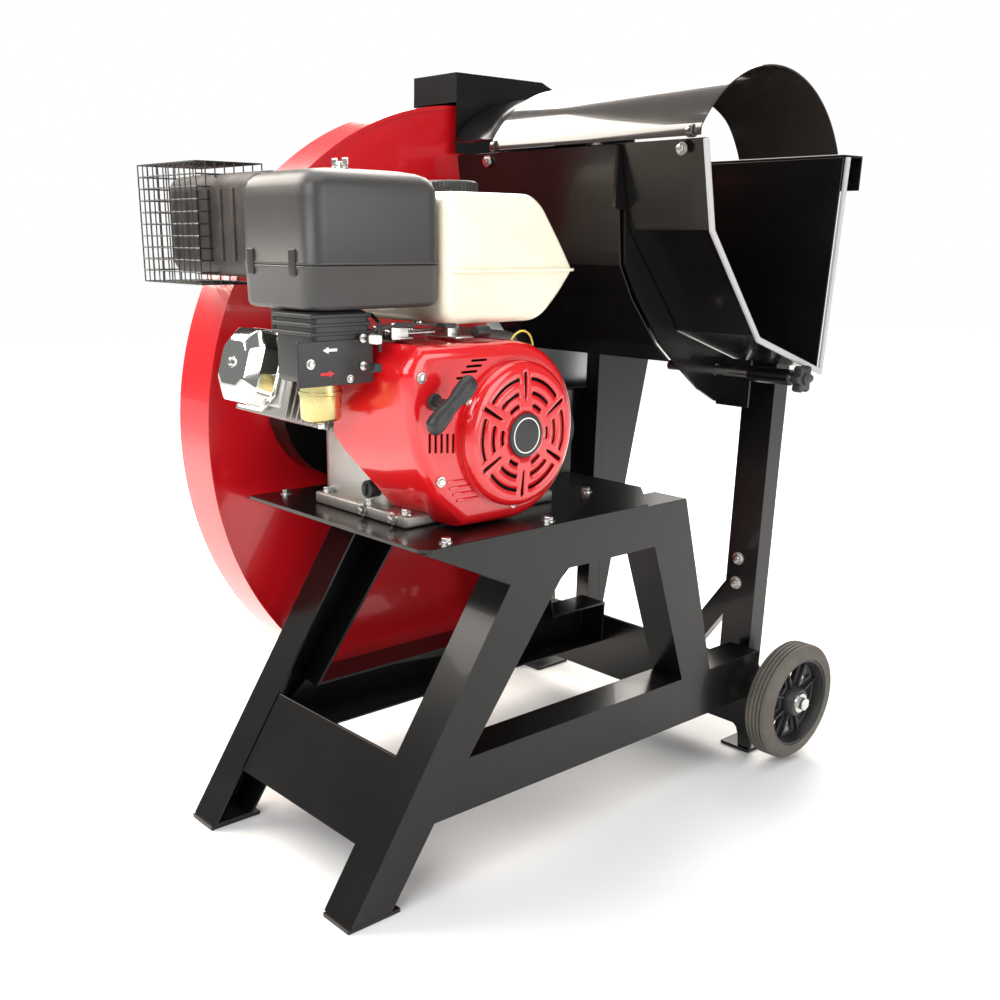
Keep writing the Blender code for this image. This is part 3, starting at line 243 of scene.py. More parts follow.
def bolt(place, direction, size, washer=1.45):
    """A hexagon head with a chamfered crown on a washer; size is half the width over corners."""
    head = bmesh.new()
    bmesh.ops.create_cone(head, cap_ends=True, segments=6, radius1=size, radius2=size, depth=size * 0.8,
                          matrix=Matrix.Translation((0.0, 0.0, size * 0.62)))
    soften(head, size * 0.12, 2, lambda edge: all(vert.co.z > size for vert in edge.verts))
    ring = bmesh.new()
    bmesh.ops.create_cone(ring, cap_ends=True, segments=24, radius1=size * washer,
                          radius2=size * washer * 0.96,
                          depth=size * 0.24, matrix=Matrix.Translation((0.0, 0.0, size * 0.12)))
    return aim(gather(head, ring), place, direction)


# %% Helpers for finished pieces
def piece(name, shape, material, body, stands_for=(), smooth=35, wall=0.0, offset=-1.0, bevel=0.0):
    bmesh.ops.translate(shape, vec=DATUM, verts=shape.verts)
    mesh = bpy.data.meshes.new(name)
    shape.to_mesh(mesh)
    shape.free()
    mesh.materials.append(material)
    obj = bpy.data.objects.new(name, mesh)
    bpy.context.scene.collection.objects.link(obj)
    mesh.shade_smooth()
    mesh.set_sharp_from_angle(angle=math.radians(smooth))
    if wall:
        solidify = obj.modifiers.new("wall", "SOLIDIFY")
        solidify.thickness = wall
        solidify.offset = offset
        solidify.use_even_offset = True
    if bevel:
        edge = obj.modifiers.new("edge", "BEVEL")
        edge.width = bevel
        edge.segments = 2
        edge.limit_method = "ANGLE"
        edge.angle_limit = math.radians(40)
        edge.harden_normals = True
    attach(obj, body)
    if stands_for:
        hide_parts(*stands_for)
    return obj


def carve(obj, cutter):
    """Cuts a shape out of a finished piece and keeps the result as its mesh."""
    bmesh.ops.translate(cutter, vec=DATUM, verts=cutter.verts)
    bmesh.ops.recalc_face_normals(cutter, faces=cutter.faces)
    mesh = bpy.data.meshes.new("cutter")
    cutter.to_mesh(mesh)
    cutter.free()
    helper = bpy.data.objects.new("cutter", mesh)
    bpy.context.scene.collection.objects.link(helper)
    cut = obj.modifiers.new("cut", "BOOLEAN")
    cut.operation = "DIFFERENCE"
    cut.object = helper
    cut.solver = "EXACT"
    cut.use_self = True
    graph = bpy.context.evaluated_depsgraph_get()
    carved = bpy.data.meshes.new_from_object(obj.evaluated_get(graph))
    obj.modifiers.clear()
    obj.data = carved
    carved.shade_smooth()
    carved.set_sharp_from_angle(angle=math.radians(35))
    bpy.data.objects.remove(helper)
    return obj


# %% [markdown]
# ## Shared effects
# A real machine is never one even colour. Three effects are used again and again. Grime and grain are
# node groups with named inputs: grime lays a second colour over the first in soft blotches, and grain
# gives the fine relief of paint, plastic or cast metal. Brushing, a stretch of the pattern's coordinates
# in each finish, draws that relief out along one direction.

# %% Node groups
def new_group(name, inputs, outputs):
    group = bpy.data.node_groups.new(name, "ShaderNodeTree")
    for label, kind, value in inputs:
        socket = group.interface.new_socket(label, in_out="INPUT", socket_type=kind)
        if value is not None:
            socket.default_value = value
    for label, kind in outputs:
        group.interface.new_socket(label, in_out="OUTPUT", socket_type=kind)
    start = group.nodes.new("NodeGroupInput")
    end = group.nodes.new("NodeGroupOutput")
    return group, start, end


def grime_group():
    group, start, end = new_group(
        "grime",
        [("Vector", "NodeSocketVector", None), ("Clean", "NodeSocketColor", (0.5, 0.5, 0.5, 1.0)),
         ("Dirt", "NodeSocketColor", (0.2, 0.18, 0.15, 1.0)), ("Scale", "NodeSocketFloat", 8.0),
         ("Amount", "NodeSocketFloat", 0.3), ("Roughness", "NodeSocketFloat", 0.4),
         ("Dulling", "NodeSocketFloat", 0.2)],
        [("Color", "NodeSocketColor"), ("Roughness", "NodeSocketFloat"), ("Mask", "NodeSocketFloat")])
    nodes, links = group.nodes, group.links
    cloud = nodes.new("ShaderNodeTexNoise")
    cloud.inputs["Detail"].default_value = 8.0
    cloud.inputs["Roughness"].default_value = 0.65
    ramp = nodes.new("ShaderNodeMapRange")
    ramp.inputs["From Min"].default_value = 0.45
    ramp.inputs["From Max"].default_value = 0.8
    strength = nodes.new("ShaderNodeMath")
    strength.operation = "MULTIPLY"
    tint = nodes.new("ShaderNodeMix")
    tint.data_type = "RGBA"
    dull = nodes.new("ShaderNodeMath")
    dull.operation = "MULTIPLY_ADD"
    links.new(start.outputs["Vector"], cloud.inputs["Vector"])
    links.new(start.outputs["Scale"], cloud.inputs["Scale"])
    links.new(cloud.outputs["Fac"], ramp.inputs["Value"])
    links.new(ramp.outputs["Result"], strength.inputs[0])
    links.new(start.outputs["Amount"], strength.inputs[1])
    links.new(strength.outputs["Value"], tint.inputs["Factor"])
    links.new(start.outputs["Clean"], tint.inputs["A"])
    links.new(start.outputs["Dirt"], tint.inputs["B"])
    links.new(strength.outputs["Value"], dull.inputs[0])
    links.new(start.outputs["Dulling"], dull.inputs[1])
    links.new(start.outputs["Roughness"], dull.inputs[2])
    links.new(tint.outputs["Result"], end.inputs["Color"])
    links.new(dull.outputs["Value"], end.inputs["Roughness"])
    links.new(strength.outputs["Value"], end.inputs["Mask"])
    return group


def grain_group():
    group, start, end = new_group(
        "grain",
        [("Vector", "NodeSocketVector", None), ("Scale", "NodeSocketFloat", 400.0),
         ("Depth", "NodeSocketFloat", 0.1)],
        [("Normal", "NodeSocketVector"), ("Height", "NodeSocketFloat")])
    nodes, links = group.nodes, group.links
    fine = nodes.new("ShaderNodeTexNoise")
    fine.inputs["Detail"].default_value = 4.0
    bump = nodes.new("ShaderNodeBump")
    bump.inputs["Distance"].default_value = 0.0006
    links.new(start.outputs["Vector"], fine.inputs["Vector"])
    links.new(start.outputs["Scale"], fine.inputs["Scale"])
    links.new(fine.outputs["Fac"], bump.inputs["Height"])
    links.new(start.outputs["Depth"], bump.inputs["Strength"])
    links.new(bump.outputs["Normal"], end.inputs["Normal"])
    links.new(fine.outputs["Fac"], end.inputs["Height"])
    return group


GRIME = grime_group()
GRAIN = grain_group()

# %% [markdown]
# ## Finishes
# One function lays a Principled shader over the two groups, and each finish is one call of it. The
# gloss paints carry a clear coat, which is what makes black powder coat mirror the room, and bare
# metals are fully metallic. The pattern is read in Object coordinates, so it never slides.


# %% Finish builder
def finish(name, colour, roughness, metallic=0.0, dirt=(0.2, 0.18, 0.15), grime=(9.0, 0.15, 0.2),
           grain=(500.0, 0.08), coat=0.0, stretch=(1.0, 1.0, 1.0), specular=0.5):
    material = bpy.data.materials.new(name)
    material.use_nodes = True
    nodes, links = material.node_tree.nodes, material.node_tree.links
    shader = nodes["Principled BSDF"]
    shader.inputs["Metallic"].default_value = metallic
    shader.inputs["Coat Weight"].default_value = coat
    shader.inputs["Coat Roughness"].default_value = 0.04
    shader.inputs["Specular IOR Level"].default_value = specular
    place = nodes.new("ShaderNodeTexCoord")
    mapping = nodes.new("ShaderNodeMapping")
    mapping.inputs["Scale"].default_value = stretch
    links.new(place.outputs["Object"], mapping.inputs["Vector"])
    blotch = nodes.new("ShaderNodeGroup")
    blotch.node_tree = GRIME
    blotch.inputs["Clean"].default_value = (*colour, 1.0)
    blotch.inputs["Dirt"].default_value = (*dirt, 1.0)
    blotch.inputs["Scale"].default_value = grime[0]
    blotch.inputs["Amount"].default_value = grime[1]
    blotch.inputs["Dulling"].default_value = grime[2]
    blotch.inputs["Roughness"].default_value = roughness
    relief = nodes.new("ShaderNodeGroup")
    relief.node_tree = GRAIN
    relief.inputs["Scale"].default_value = grain[0]
    relief.inputs["Depth"].default_value = grain[1]
    links.new(place.outputs["Object"], blotch.inputs["Vector"])
    links.new(mapping.outputs["Vector"], relief.inputs["Vector"])
    links.new(blotch.outputs["Color"], shader.inputs["Base Color"])
    links.new(blotch.outputs["Roughness"], shader.inputs["Roughness"])
    links.new(relief.outputs["Normal"], shader.inputs["Normal"])
    return material


# %% The finishes
POWDER_BLACK = finish("powder_black", (0.0045, 0.0042, 0.0042), 0.24, dirt=(0.020, 0.018, 0.016),
                      grime=(7.0, 0.22, 0.2), grain=(220.0, 0.03), coat=0.12, specular=0.36)
HOOD_BLACK = finish("hood_black", (0.030, 0.024, 0.020), 0.14, dirt=(0.10, 0.08, 0.06),
                    grime=(5.0, 0.2, 0.2), grain=(150.0, 0.02), coat=1.0)
GUARD_RED = finish("guard_red", (0.60, 0.006, 0.012), 0.24, dirt=(0.30, 0.004, 0.006),
                   grime=(4.0, 0.35, 0.15), grain=(260.0, 0.03), coat=0.5)
COWL_RED = finish("cowl_red", (0.66, 0.008, 0.012), 0.16, dirt=(0.35, 0.004, 0.006),
                  grime=(10.0, 0.2, 0.15), grain=(300.0, 0.03), coat=0.9)
TRIM_GREY = finish("trim_grey", (0.46, 0.46, 0.46), 0.55, dirt=(0.25, 0.25, 0.24), grain=(900.0, 0.15))
ZINC_BRIGHT = finish("zinc_bright", (0.66, 0.66, 0.64), 0.24, 1.0, grime=(40.0, 0.25, 0.25),
                     grain=(700.0, 0.10))
BLADE_STEEL = finish("blade_steel", (0.52, 0.53, 0.54), 0.30, 1.0, dirt=(0.30, 0.24, 0.18),
                     grime=(6.0, 0.25, 0.2), grain=(260.0, 0.10), stretch=(1.0, 0.05, 1.0))
CAST_ALLOY = finish("cast_alloy", (0.46, 0.45, 0.43), 0.42, 1.0, dirt=(0.16, 0.14, 0.11),
                    grime=(14.0, 0.6, 0.25), grain=(650.0, 0.55))
CHROME = finish("chrome", (0.78, 0.79, 0.76), 0.07, 1.0, dirt=(0.55, 0.52, 0.40),
                grime=(12.0, 0.3, 0.12), grain=(90.0, 0.02))
MOULDED_BLACK = finish("moulded_black", (0.018, 0.018, 0.019), 0.42, dirt=(0.06, 0.055, 0.05),
                       grime=(12.0, 0.3, 0.25), grain=(1100.0, 0.25))
MOULDED_CHARCOAL = finish("moulded_charcoal", (0.040, 0.038, 0.037), 0.38, dirt=(0.075, 0.068, 0.060),
                          grime=(6.0, 0.4, 0.15), grain=(1300.0, 0.22))
CREAM_ENAMEL = finish("cream_enamel", (0.86, 0.80, 0.64), 0.20, dirt=(0.74, 0.62, 0.42),
                      grime=(5.0, 0.35, 0.15), grain=(240.0, 0.03), coat=0.6)
TYRE_GREY = finish("tyre_grey", (0.105, 0.094, 0.080), 0.78, dirt=(0.20, 0.18, 0.15),
                   grime=(16.0, 0.6, 0.1), grain=(800.0, 0.35))
BELT_BLACK = finish("belt_black", (0.02, 0.02, 0.02), 0.6, grain=(900.0, 0.3))
PASSIVATED = finish("passivated", (0.62, 0.50, 0.22), 0.26, 1.0, dirt=(0.36, 0.52, 0.34),
                    grime=(28.0, 0.85, 0.1), grain=(300.0, 0.05))
PAPER = finish("filter_paper", (0.72, 0.58, 0.30), 0.9, grain=(300.0, 0.5))
SOOT_BLACK = finish("soot_black", (0.020, 0.018, 0.017), 0.55, dirt=(0.09, 0.06, 0.045),
                    grime=(30.0, 0.6, 0.2), grain=(160.0, 0.8))
WIRE_BLACK = finish("wire_black", (0.016, 0.015, 0.015), 0.38, grain=(500.0, 0.2))
MARK_WHITE = finish("mark_white", (0.85, 0.85, 0.83), 0.4, grime=(60.0, 0.1, 0.1))
MARK_RED = finish("mark_red", (0.62, 0.01, 0.02), 0.4, grime=(60.0, 0.1, 0.1))
WIRE_YELLOW = finish("wire_yellow", (0.75, 0.62, 0.12), 0.4)
# Painted shade: a flat near-black finish for thin sheets that stand in for the dark inside of hollow parts.
SHADE_FILL = finish("painted_shade", (0.012, 0.011, 0.010), 0.7)
print(len(bpy.data.materials), "materials")

# %% [markdown]
# ## Sheet metal that keeps its CAD shape
# The stand, trough and guards are plain folded sheet, so their CAD solids already have the true
# shape. They only need paint and the small radius that a press brake leaves on every edge. A Weld
# joins the loose triangles first, and a Bevel limited by angle rounds the folds alone.


# %% Paint the CAD parts
def repaint(material, *names, bevel=0.0):
    for name in names:
        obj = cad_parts[name]
        obj.data.materials.clear()
        obj.data.materials.append(material)
        if bevel:
            obj.modifiers.new("weld", "WELD").merge_threshold = 1e-5
            edge = obj.modifiers.new("edge", "BEVEL")
            edge.width = bevel
            edge.segments = 2
            edge.limit_method = "ANGLE"
            edge.angle_limit = math.radians(30)
            edge.harden_normals = True


repaint(POWDER_BLACK, "side_frame_right", "side_frame_left", "front_cross_plate", "engine_plate",
        "rear_cross_plate", "foot_front_right", "foot_front_left", "foot_rear_right",
        "foot_rear_left", "cradle_post", "cradle_arm", "trough", "trough_front_panel",
        "saddle_rib", "blade_cover", bevel=0.0012)
repaint(POWDER_BLACK, "pivot_tube", "stop_sleeve", "belt_guard", "push_rail")
repaint(ZINC_BRIGHT, "arbor_shaft", "arbor_nut", "blade_flange", "crankshaft", "stop_rod")
repaint(BLADE_STEEL, "saw_blade")
repaint(CAST_ALLOY, "arbor_pulley", "crank_pulley", "flywheel")
repaint(BELT_BLACK, "drive_belt")
repaint(PAPER, "air_filter")
repaint(MOULDED_BLACK, "bearing_block_left", "bearing_block_right", bevel=0.0015)

# %% [markdown]
# ## The camera, the floor and the light
# The camera is made first, because it shows whether the frame is right. A bright, broad panel behind
# and above the saw is what the hood and the plate mirror; two softer ones light the near sides.

# %% Camera
VIEW_AZIMUTH, VIEW_ELEVATION, VIEW_ROLL = math.radians(49.73), math.radians(18.64), math.radians(0.40)
back = Vector((math.sin(VIEW_AZIMUTH) * math.cos(VIEW_ELEVATION),
               -math.cos(VIEW_AZIMUTH) * math.cos(VIEW_ELEVATION), math.sin(VIEW_ELEVATION)))
level = Vector((math.cos(VIEW_AZIMUTH), math.sin(VIEW_AZIMUTH), 0.0))
upright = back.cross(level)
right = level * math.cos(VIEW_ROLL) + upright * math.sin(VIEW_ROLL)
up = upright * math.cos(VIEW_ROLL) - level * math.sin(VIEW_ROLL)

lens = bpy.data.cameras.new("camera")
lens.sensor_width = 36.0
lens.lens = 40.9
lens.shift_x = 0.06
lens.shift_y = 0.12
camera = bpy.data.objects.new("camera", lens)
turn = Matrix((right, up, back)).transposed().to_4x4()
camera.matrix_world = Matrix.Translation(DATUM + Vector((1.2325, -1.19, 0.85))) @ turn
bpy.context.scene.collection.objects.link(camera)
bpy.context.scene.camera = camera


# %% Floor and lights
def lamp(name, place, target, size, power, colour=(1.0, 1.0, 1.0)):
    light = bpy.data.lights.new(name, "AREA")
    light.shape = "RECTANGLE"
    light.size, light.size_y = size
    light.energy = power
    light.color = colour
    obj = bpy.data.objects.new(name, light)
    obj.location = place
    obj.rotation_euler = (Vector(target) - Vector(place)).to_track_quat("-Z", "Y").to_euler()
    bpy.context.scene.collection.objects.link(obj)
    return obj


floor_shape = bmesh.new()
bmesh.ops.create_grid(floor_shape, x_segments=1, y_segments=1, size=40.0)
floor_mesh = bpy.data.meshes.new("floor")
floor_shape.to_mesh(floor_mesh)
floor_shape.free()
floor_mesh.materials.append(finish("pale_floor", (0.90, 0.90, 0.90), 0.6, grime=(2.0, 0.02, 0.1),
                                   dirt=(0.86, 0.86, 0.86), grain=(60.0, 0.01)))
# Far from the machine the floor glows a little, so it runs into the white room without a horizon.
floor_nodes, floor_links = floor_mesh.materials[0].node_tree.nodes, floor_mesh.materials[0].node_tree.links
reach = floor_nodes.new("ShaderNodeVectorMath")
reach.operation = "LENGTH"
fade = floor_nodes.new("ShaderNodeMapRange")
fade.inputs["From Min"].default_value = 0.9
fade.inputs["From Max"].default_value = 3.2
fade.inputs["To Max"].default_value = 0.75
floor_links.new(floor_nodes["Texture Coordinate"].outputs["Object"], reach.inputs[0])
floor_links.new(reach.outputs["Value"], fade.inputs["Value"])
floor_shader = floor_nodes["Principled BSDF"]
floor_shader.inputs["Emission Color"].default_value = (1.0, 1.0, 1.0, 1.0)
floor_links.new(fade.outputs["Result"], floor_shader.inputs["Emission Strength"])
floor = bpy.data.objects.new("floor", floor_mesh)
bpy.context.scene.collection.objects.link(floor)

lamp("back_panel", (-1.6, 2.3, 2.5), (0.0, 0.2, 0.9), (3.0, 2.2), 150.0, (1.0, 0.95, 0.88))
lamp("hood_panel", (-2.6, -1.1, 2.9), (0.1, 0.1, 0.9), (3.0, 2.2), 190.0, (1.0, 0.93, 0.84))
lamp("front_panel", (1.0, -2.6, 2.2), (0.0, -0.1, 0.6), (2.2, 1.6), 60.0)
lamp("side_panel", (2.9, 0.6, 1.4), (0.0, 0.1, 0.6), (1.6, 2.0), 35.0)
lamp("top_panel", (0.2, -0.2, 3.2), (0.0, 0.0, 0.5), (2.4, 2.4), 45.0)

world = bpy.data.worlds.new("studio")
bpy.context.scene.world = world
world.use_nodes = True
world.node_tree.nodes["Background"].inputs["Color"].default_value = (1.0, 1.0, 1.0, 1.0)
# The camera sees a white room, while the machine mirrors a dimmer one, so black paint stays black.
sky_nodes, sky_links = world.node_tree.nodes, world.node_tree.links
rays = sky_nodes.new("ShaderNodeLightPath")
strength = sky_nodes.new("ShaderNodeMath")
strength.operation = "MULTIPLY_ADD"
strength.inputs[1].default_value = 0.74
strength.inputs[2].default_value = 0.26
sky_links.new(rays.outputs["Is Camera Ray"], strength.inputs[0])
sky_links.new(strength.outputs["Value"], sky_nodes["Background"].inputs["Strength"])
bpy.context.scene.view_settings.view_transform = "Standard"

# %% [markdown]
# ## The starter cover
# The cover over the pull starter is one turned profile. Its slots are made by leaving faces out: six
# spokes run outwards and three rings of short arcs lie between them. A Solidify then gives the sheet
# its thickness, so every slot gets real edges. Behind them a flat dark disc is painted shade, standing
# for the dark inside of the starter.


# %% Starter cover
def around(point, centre):
    """Radius and angle in degrees of a point seen along X."""
    dy, dz = point.y - centre.y, point.z - centre.z
    return math.hypot(dy, dz), math.degrees(math.atan2(dz, dy)) % 360


def near_spoke(angle, width, first=90, step=60):
    return abs((angle - first + step / 2) % step - step / 2) < width


def is_cover_slot(point):
    radius, angle = around(point, CRANK)
    if 0.047 < radius < 0.080 and near_spoke(angle, 2.3):
        return True
    between = abs((angle - 120 + 30) % 60 - 30)
    return ((0.037 < radius < 0.0415 and between < 13) or (0.052 < radius < 0.0565 and between < 18)
            or (0.0695 < radius < 0.074 and between < 22))


CRANK_CENTRE = (CRANK.y, CRANK.z)
COVER_FACE = 0.187
rings = [0.028, 0.037, 0.0415, 0.047, 0.052, 0.0565, 0.063, 0.0695, 0.074, 0.080, 0.085]
profile = [(COVER_FACE - 0.004 * (r / 0.09) ** 2, r) for r in rings]
profile += [(0.1810, 0.0890), (0.1785, 0.0918), (0.1745, 0.0935), (0.1655, 0.0940)]
cover = opened(turned(profile, CRANK_CENTRE, 180), is_cover_slot)
piece("starter_cover", cover, COWL_RED, "stand", ("recoil_cover",), wall=0.0022, smooth=50)
rim = turned([(0.1653, 0.0890), (0.1653, 0.0965), (0.1675, 0.0965), (0.1675, 0.0890)], CRANK_CENTRE, 96, True)
piece("starter_rim", rim, COWL_RED, "stand", ("recoil_cover",))
badge = drum("X", CRANK_CENTRE, 0.180, 0.1895, 0.0285, 64, 0.0018)
piece("starter_badge", badge, MOULDED_BLACK, "stand", ("recoil_cover",))
ring = turned([(0.1893, 0.0215), (0.1893, 0.0230), (0.1898, 0.0230), (0.1898, 0.0215)], CRANK_CENTRE, 64,
              True)
piece("starter_ring", ring, MARK_WHITE, "stand", ("recoil_cover",))
# Painted shade: a flat dark disc behind the slots stands for the dark inside of the starter.
shade_disc = drum("X", CRANK_CENTRE, 0.1660, 0.1672, 0.086, 64)
piece("starter_shade_disc", shade_disc, SHADE_FILL, "stand", ("recoil_cover",))
bolts = []
for turn in (30, 150, 270):
    place = on_axis("X", 0.1675, arc(CRANK_CENTRE, 0.0925, turn, turn, 1)[0])
    bolts.append(bolt(place, (1, 0, 0), 0.0042))
piece("starter_bolts", gather(*bolts), ZINC_BRIGHT, "stand", ("recoil_cover",))

# %% [markdown]
# ## The fan cowl
# The red cowl is a skin through outlines that share one count of points. Its front edge is a quarter
# circle made of six insets of the same outline. The vents and the fan's opening are cut last.


# %% Fan cowl
def inset(outline, distance):
    """A closed outline, drawn anticlockwise, moved inwards by a distance."""
    points = []
    for i, corner in enumerate(outline):
        here = Vector(corner)
        before = (here - Vector(outline[i - 1])).normalized()
        after = (Vector(outline[(i + 1) % len(outline)]) - here).normalized()
        mitre = Vector((-before.y - after.y, before.x + after.x)).normalized()
        stretch = max(mitre.dot(Vector((-after.y, after.x))), 0.5)
        points.append(tuple(here + mitre * distance / stretch))
    return points


def skinned(rings, low_cap=False, high_cap=True):
    shape = bmesh.new()
    loops = [[shape.verts.new((x, *point)) for point in outline] for x, outline in rings]
    for first, second in zip(loops, loops[1:]):
        for i in range(len(first)):
            j = (i + 1) % len(first)
            shape.faces.new((first[i], first[j], second[j], second[i]))
    if low_cap:
        shape.faces.new(loops[0])
    if high_cap:
        shape.faces.new(loops[-1])
    return outward(shape)


def cowl_outline(nose, radius):
    round_part = arc(CRANK_CENTRE, radius, 90, -96, 72)
    return list(reversed(round_part + nose))


back_nose = [(-0.200, 0.4915), (-0.262, 0.496), (-0.302, 0.540), (-0.349, 0.590), (-0.366, 0.614),
             (-0.366, 0.650),
             (-0.352, 0.680), (-0.350, 0.724), (-0.343, 0.7305), (-0.175, 0.7270)]
front_nose = [(-0.205, 0.4925), (-0.248, 0.4945), (-0.295, 0.545), (-0.322, 0.596), (-0.332, 0.630),
              (-0.338, 0.665), (-0.340, 0.690), (-0.338, 0.702), (-0.316, 0.7265), (-0.195, 0.7245)]
back_line, front_line = cowl_outline(back_nose, 0.118), cowl_outline(front_nose, 0.1165)
levels = [(0.050, back_line)]
for step in range(7):
    turn_angle = math.radians(15 * step)
    levels.append((0.149 + 0.016 * math.sin(turn_angle),
                   inset(front_line, 0.016 * (1 - math.cos(turn_angle)))))
cowl = piece("fan_cowl_skin", skinned(levels), COWL_RED, "stand", ("fan_cowl",), wall=0.0022,
             smooth=40)
cutters = [drum("X", CRANK_CENTRE, 0.140, 0.180, 0.080, 64)]
for k in range(5):
    y = -0.306 + 0.0095 * k
    cutters.append(block((0.155, y, 0.598 - 0.001 * k), (0.175, y + 0.0042, 0.622 - 0.001 * k)))
for k in range(4):
    y, z = -0.262 + 0.008 * k, 0.6840 + 0.0066 * k
    cutters.append(block((0.155, y, z), (0.175, y + 0.026, z + 0.0030)))
cutters.append(block((0.040, CRANK.y - 0.16, 0.480), (0.1125, CRANK.y + 0.14, PLATE_TOP + 0.0178)))
carve(cowl, gather(*cutters))
louvres = []
for k in range(4):
    low_y, z = -0.278 + 0.006 * k, 0.5560 - 0.0085 * k
    louvres.append(block((0.1640, low_y, z), (0.1675, low_y + 0.036, z + 0.0035), 0.001, 2))
piece("cowl_louvres", gather(*louvres), COWL_RED, "stand", ("fan_cowl",))
# Painted shade: a dark disc and a dark plate behind the fan opening stand for the dark inside of the cowl.
inside = drum("X", CRANK_CENTRE, 0.1192, 0.1205, 0.105, 48)
inner_front = slab(inset(front_line, 0.02), "X", 0.1200, 0.1212)
piece("cowl_inside_shade", gather(inside, inner_front), SHADE_FILL, "stand", ("fan_cowl",))
bolts = [bolt((0.1655, y, z), (1, 0, 0), 0.0048) for y, z in ((-0.318, 0.690), (-0.286, 0.560))]
piece("cowl_bolts", gather(*bolts), ZINC_BRIGHT, "stand", ("fan_cowl",))

# %% Starter handle
grip = turned_upright([(-0.043, 0.0), (-0.043, 0.007), (-0.039, 0.0115), (-0.030, 0.0130), (-0.014, 0.0120),
                       (-0.008, 0.0100), (0.008, 0.0100), (0.014, 0.0120), (0.030, 0.0130), (0.039, 0.0115),
                       (0.043, 0.007), (0.043, 0.0)], (0.0, 0.0), 32)
bmesh.ops.scale(grip, vec=(0.78, 1.0, 1.0), verts=grip.verts)
bmesh.ops.transform(grip, matrix=Matrix.Rotation(math.radians(-50), 4, "X"), verts=grip.verts)
bmesh.ops.translate(grip, vec=(0.200, -0.299, CRANK.z + 0.0515), verts=grip.verts)
stem = drum("X", (-0.299, CRANK.z + 0.0515), 0.1655, 0.197, 0.0058, 24, 0.001)
mouth = drum("X", (-0.299, CRANK.z + 0.0515), 0.1655, 0.1715, 0.0105, 32, 0.002)
piece("starter_grip", gather(grip, stem), MOULDED_BLACK, "pull_handle", ("pull_handle",),
      smooth=50)
piece("starter_mouth", mouth, MOULDED_BLACK, "stand", ("fan_cowl",))

# %% [markdown]
# ## Air cleaner, intake and levers
# The air cleaner is a stack of one rounded outline: each level gives the height and how far the
# outline draws in, and the last few levels form the domed lid.

# %% Air cleaner
AIR_MIDDLE = (0.045, -0.34475)
corners = [(-0.0775, -0.0985), (0.0775, -0.0985), (0.0775, 0.0985), (-0.0775, 0.0985)]
plan = rounded(corners, 0.026, 8)


def moved(shape, offset):
    bmesh.ops.translate(shape, vec=offset, verts=shape.verts)
    return shape


lid = tower(plan, [(0.8185, 1.012, 1.010), (0.8210, 1.012, 1.010), (0.8225, 0.998, 0.998),
                   (0.8900, 0.985, 0.988),
                   (0.9030, 0.970, 0.976), (0.9110, 0.930, 0.945), (0.9165, 0.860, 0.890),
                   (0.9205, 0.740, 0.790),
                   (0.9232, 0.560, 0.630), (0.9248, 0.330, 0.400), (0.9254, 0.100, 0.120)], cap_low=False)
piece("air_lid", moved(lid, (*AIR_MIDDLE, 0.0)), MOULDED_CHARCOAL, "stand",
      ("air_cleaner_cover",), smooth=60, wall=0.0022)
tray = tower(plan, [(0.7683, 0.900, 0.920), (0.7698, 0.955, 0.965), (0.7740, 0.985, 0.988),
                    (0.8140, 1.000, 1.000),
                    (0.8150, 1.012, 1.010), (0.8175, 1.012, 1.010)], cap_high=False)
piece("air_tray", moved(tray, (*AIR_MIDDLE, 0.0)), MOULDED_CHARCOAL, "stand",
      ("air_cleaner_box",), smooth=60, wall=0.0022)
nut = gather(drum("Z", AIR_MIDDLE, 0.9250, 0.9280, 0.0105, 32, 0.0006),
             drum("Z", AIR_MIDDLE, 0.9275, 0.9340, 0.0060, 24, 0.0010, 0.0045),
             block((0.0290, -0.3462, 0.9285), (0.0400, -0.3432, 0.9380), 0.0012),
             block((0.0500, -0.3462, 0.9285), (0.0610, -0.3432, 0.9380), 0.0012))
piece("air_wing_nut", nut, ZINC_BRIGHT, "stand", ("air_cleaner_cover",))
clips = [block((x, -0.4455, 0.806), (x + 0.014, -0.4405, 0.836), 0.0015) for x in (-0.010, 0.080)]
piece("air_clips", gather(*clips), MOULDED_BLACK, "stand", ("air_cleaner_cover",))

# %% Intake neck, control panel and levers
neck = block((0.036, -0.4395, 0.6840), (0.1170, -0.3550, 0.7675), 0.009, 4)
ribs = [block((0.035, -0.4420, z), (0.1185, -0.3560, z + 0.0045), 0.0015) for z in (0.7400, 0.7500, 0.7600)]
panel = block((0.1165, -0.4625, 0.6835), (0.1203, -0.3550, 0.7350), 0.0012)
piece("intake_neck", gather(neck, panel, *ribs), MOULDED_BLACK, "stand", ("intake_elbow",))
piece("panel_bolts", gather(bolt((0.1203, -0.4455, 0.710), (1, 0, 0), 0.0042),
                            bolt((0.1203, -0.3900, 0.6900), (1, 0, 0), 0.0034)),
      ZINC_BRIGHT, "stand", ("intake_elbow",))


def arrow(y, z, sense):
    return [(y, z - 0.0016), (y + 0.012 * sense, z - 0.0016), (y + 0.012 * sense, z - 0.0040),
            (y + 0.020 * sense, z),
            (y + 0.012 * sense, z + 0.0040), (y + 0.012 * sense, z + 0.0016), (y, z + 0.0016)]


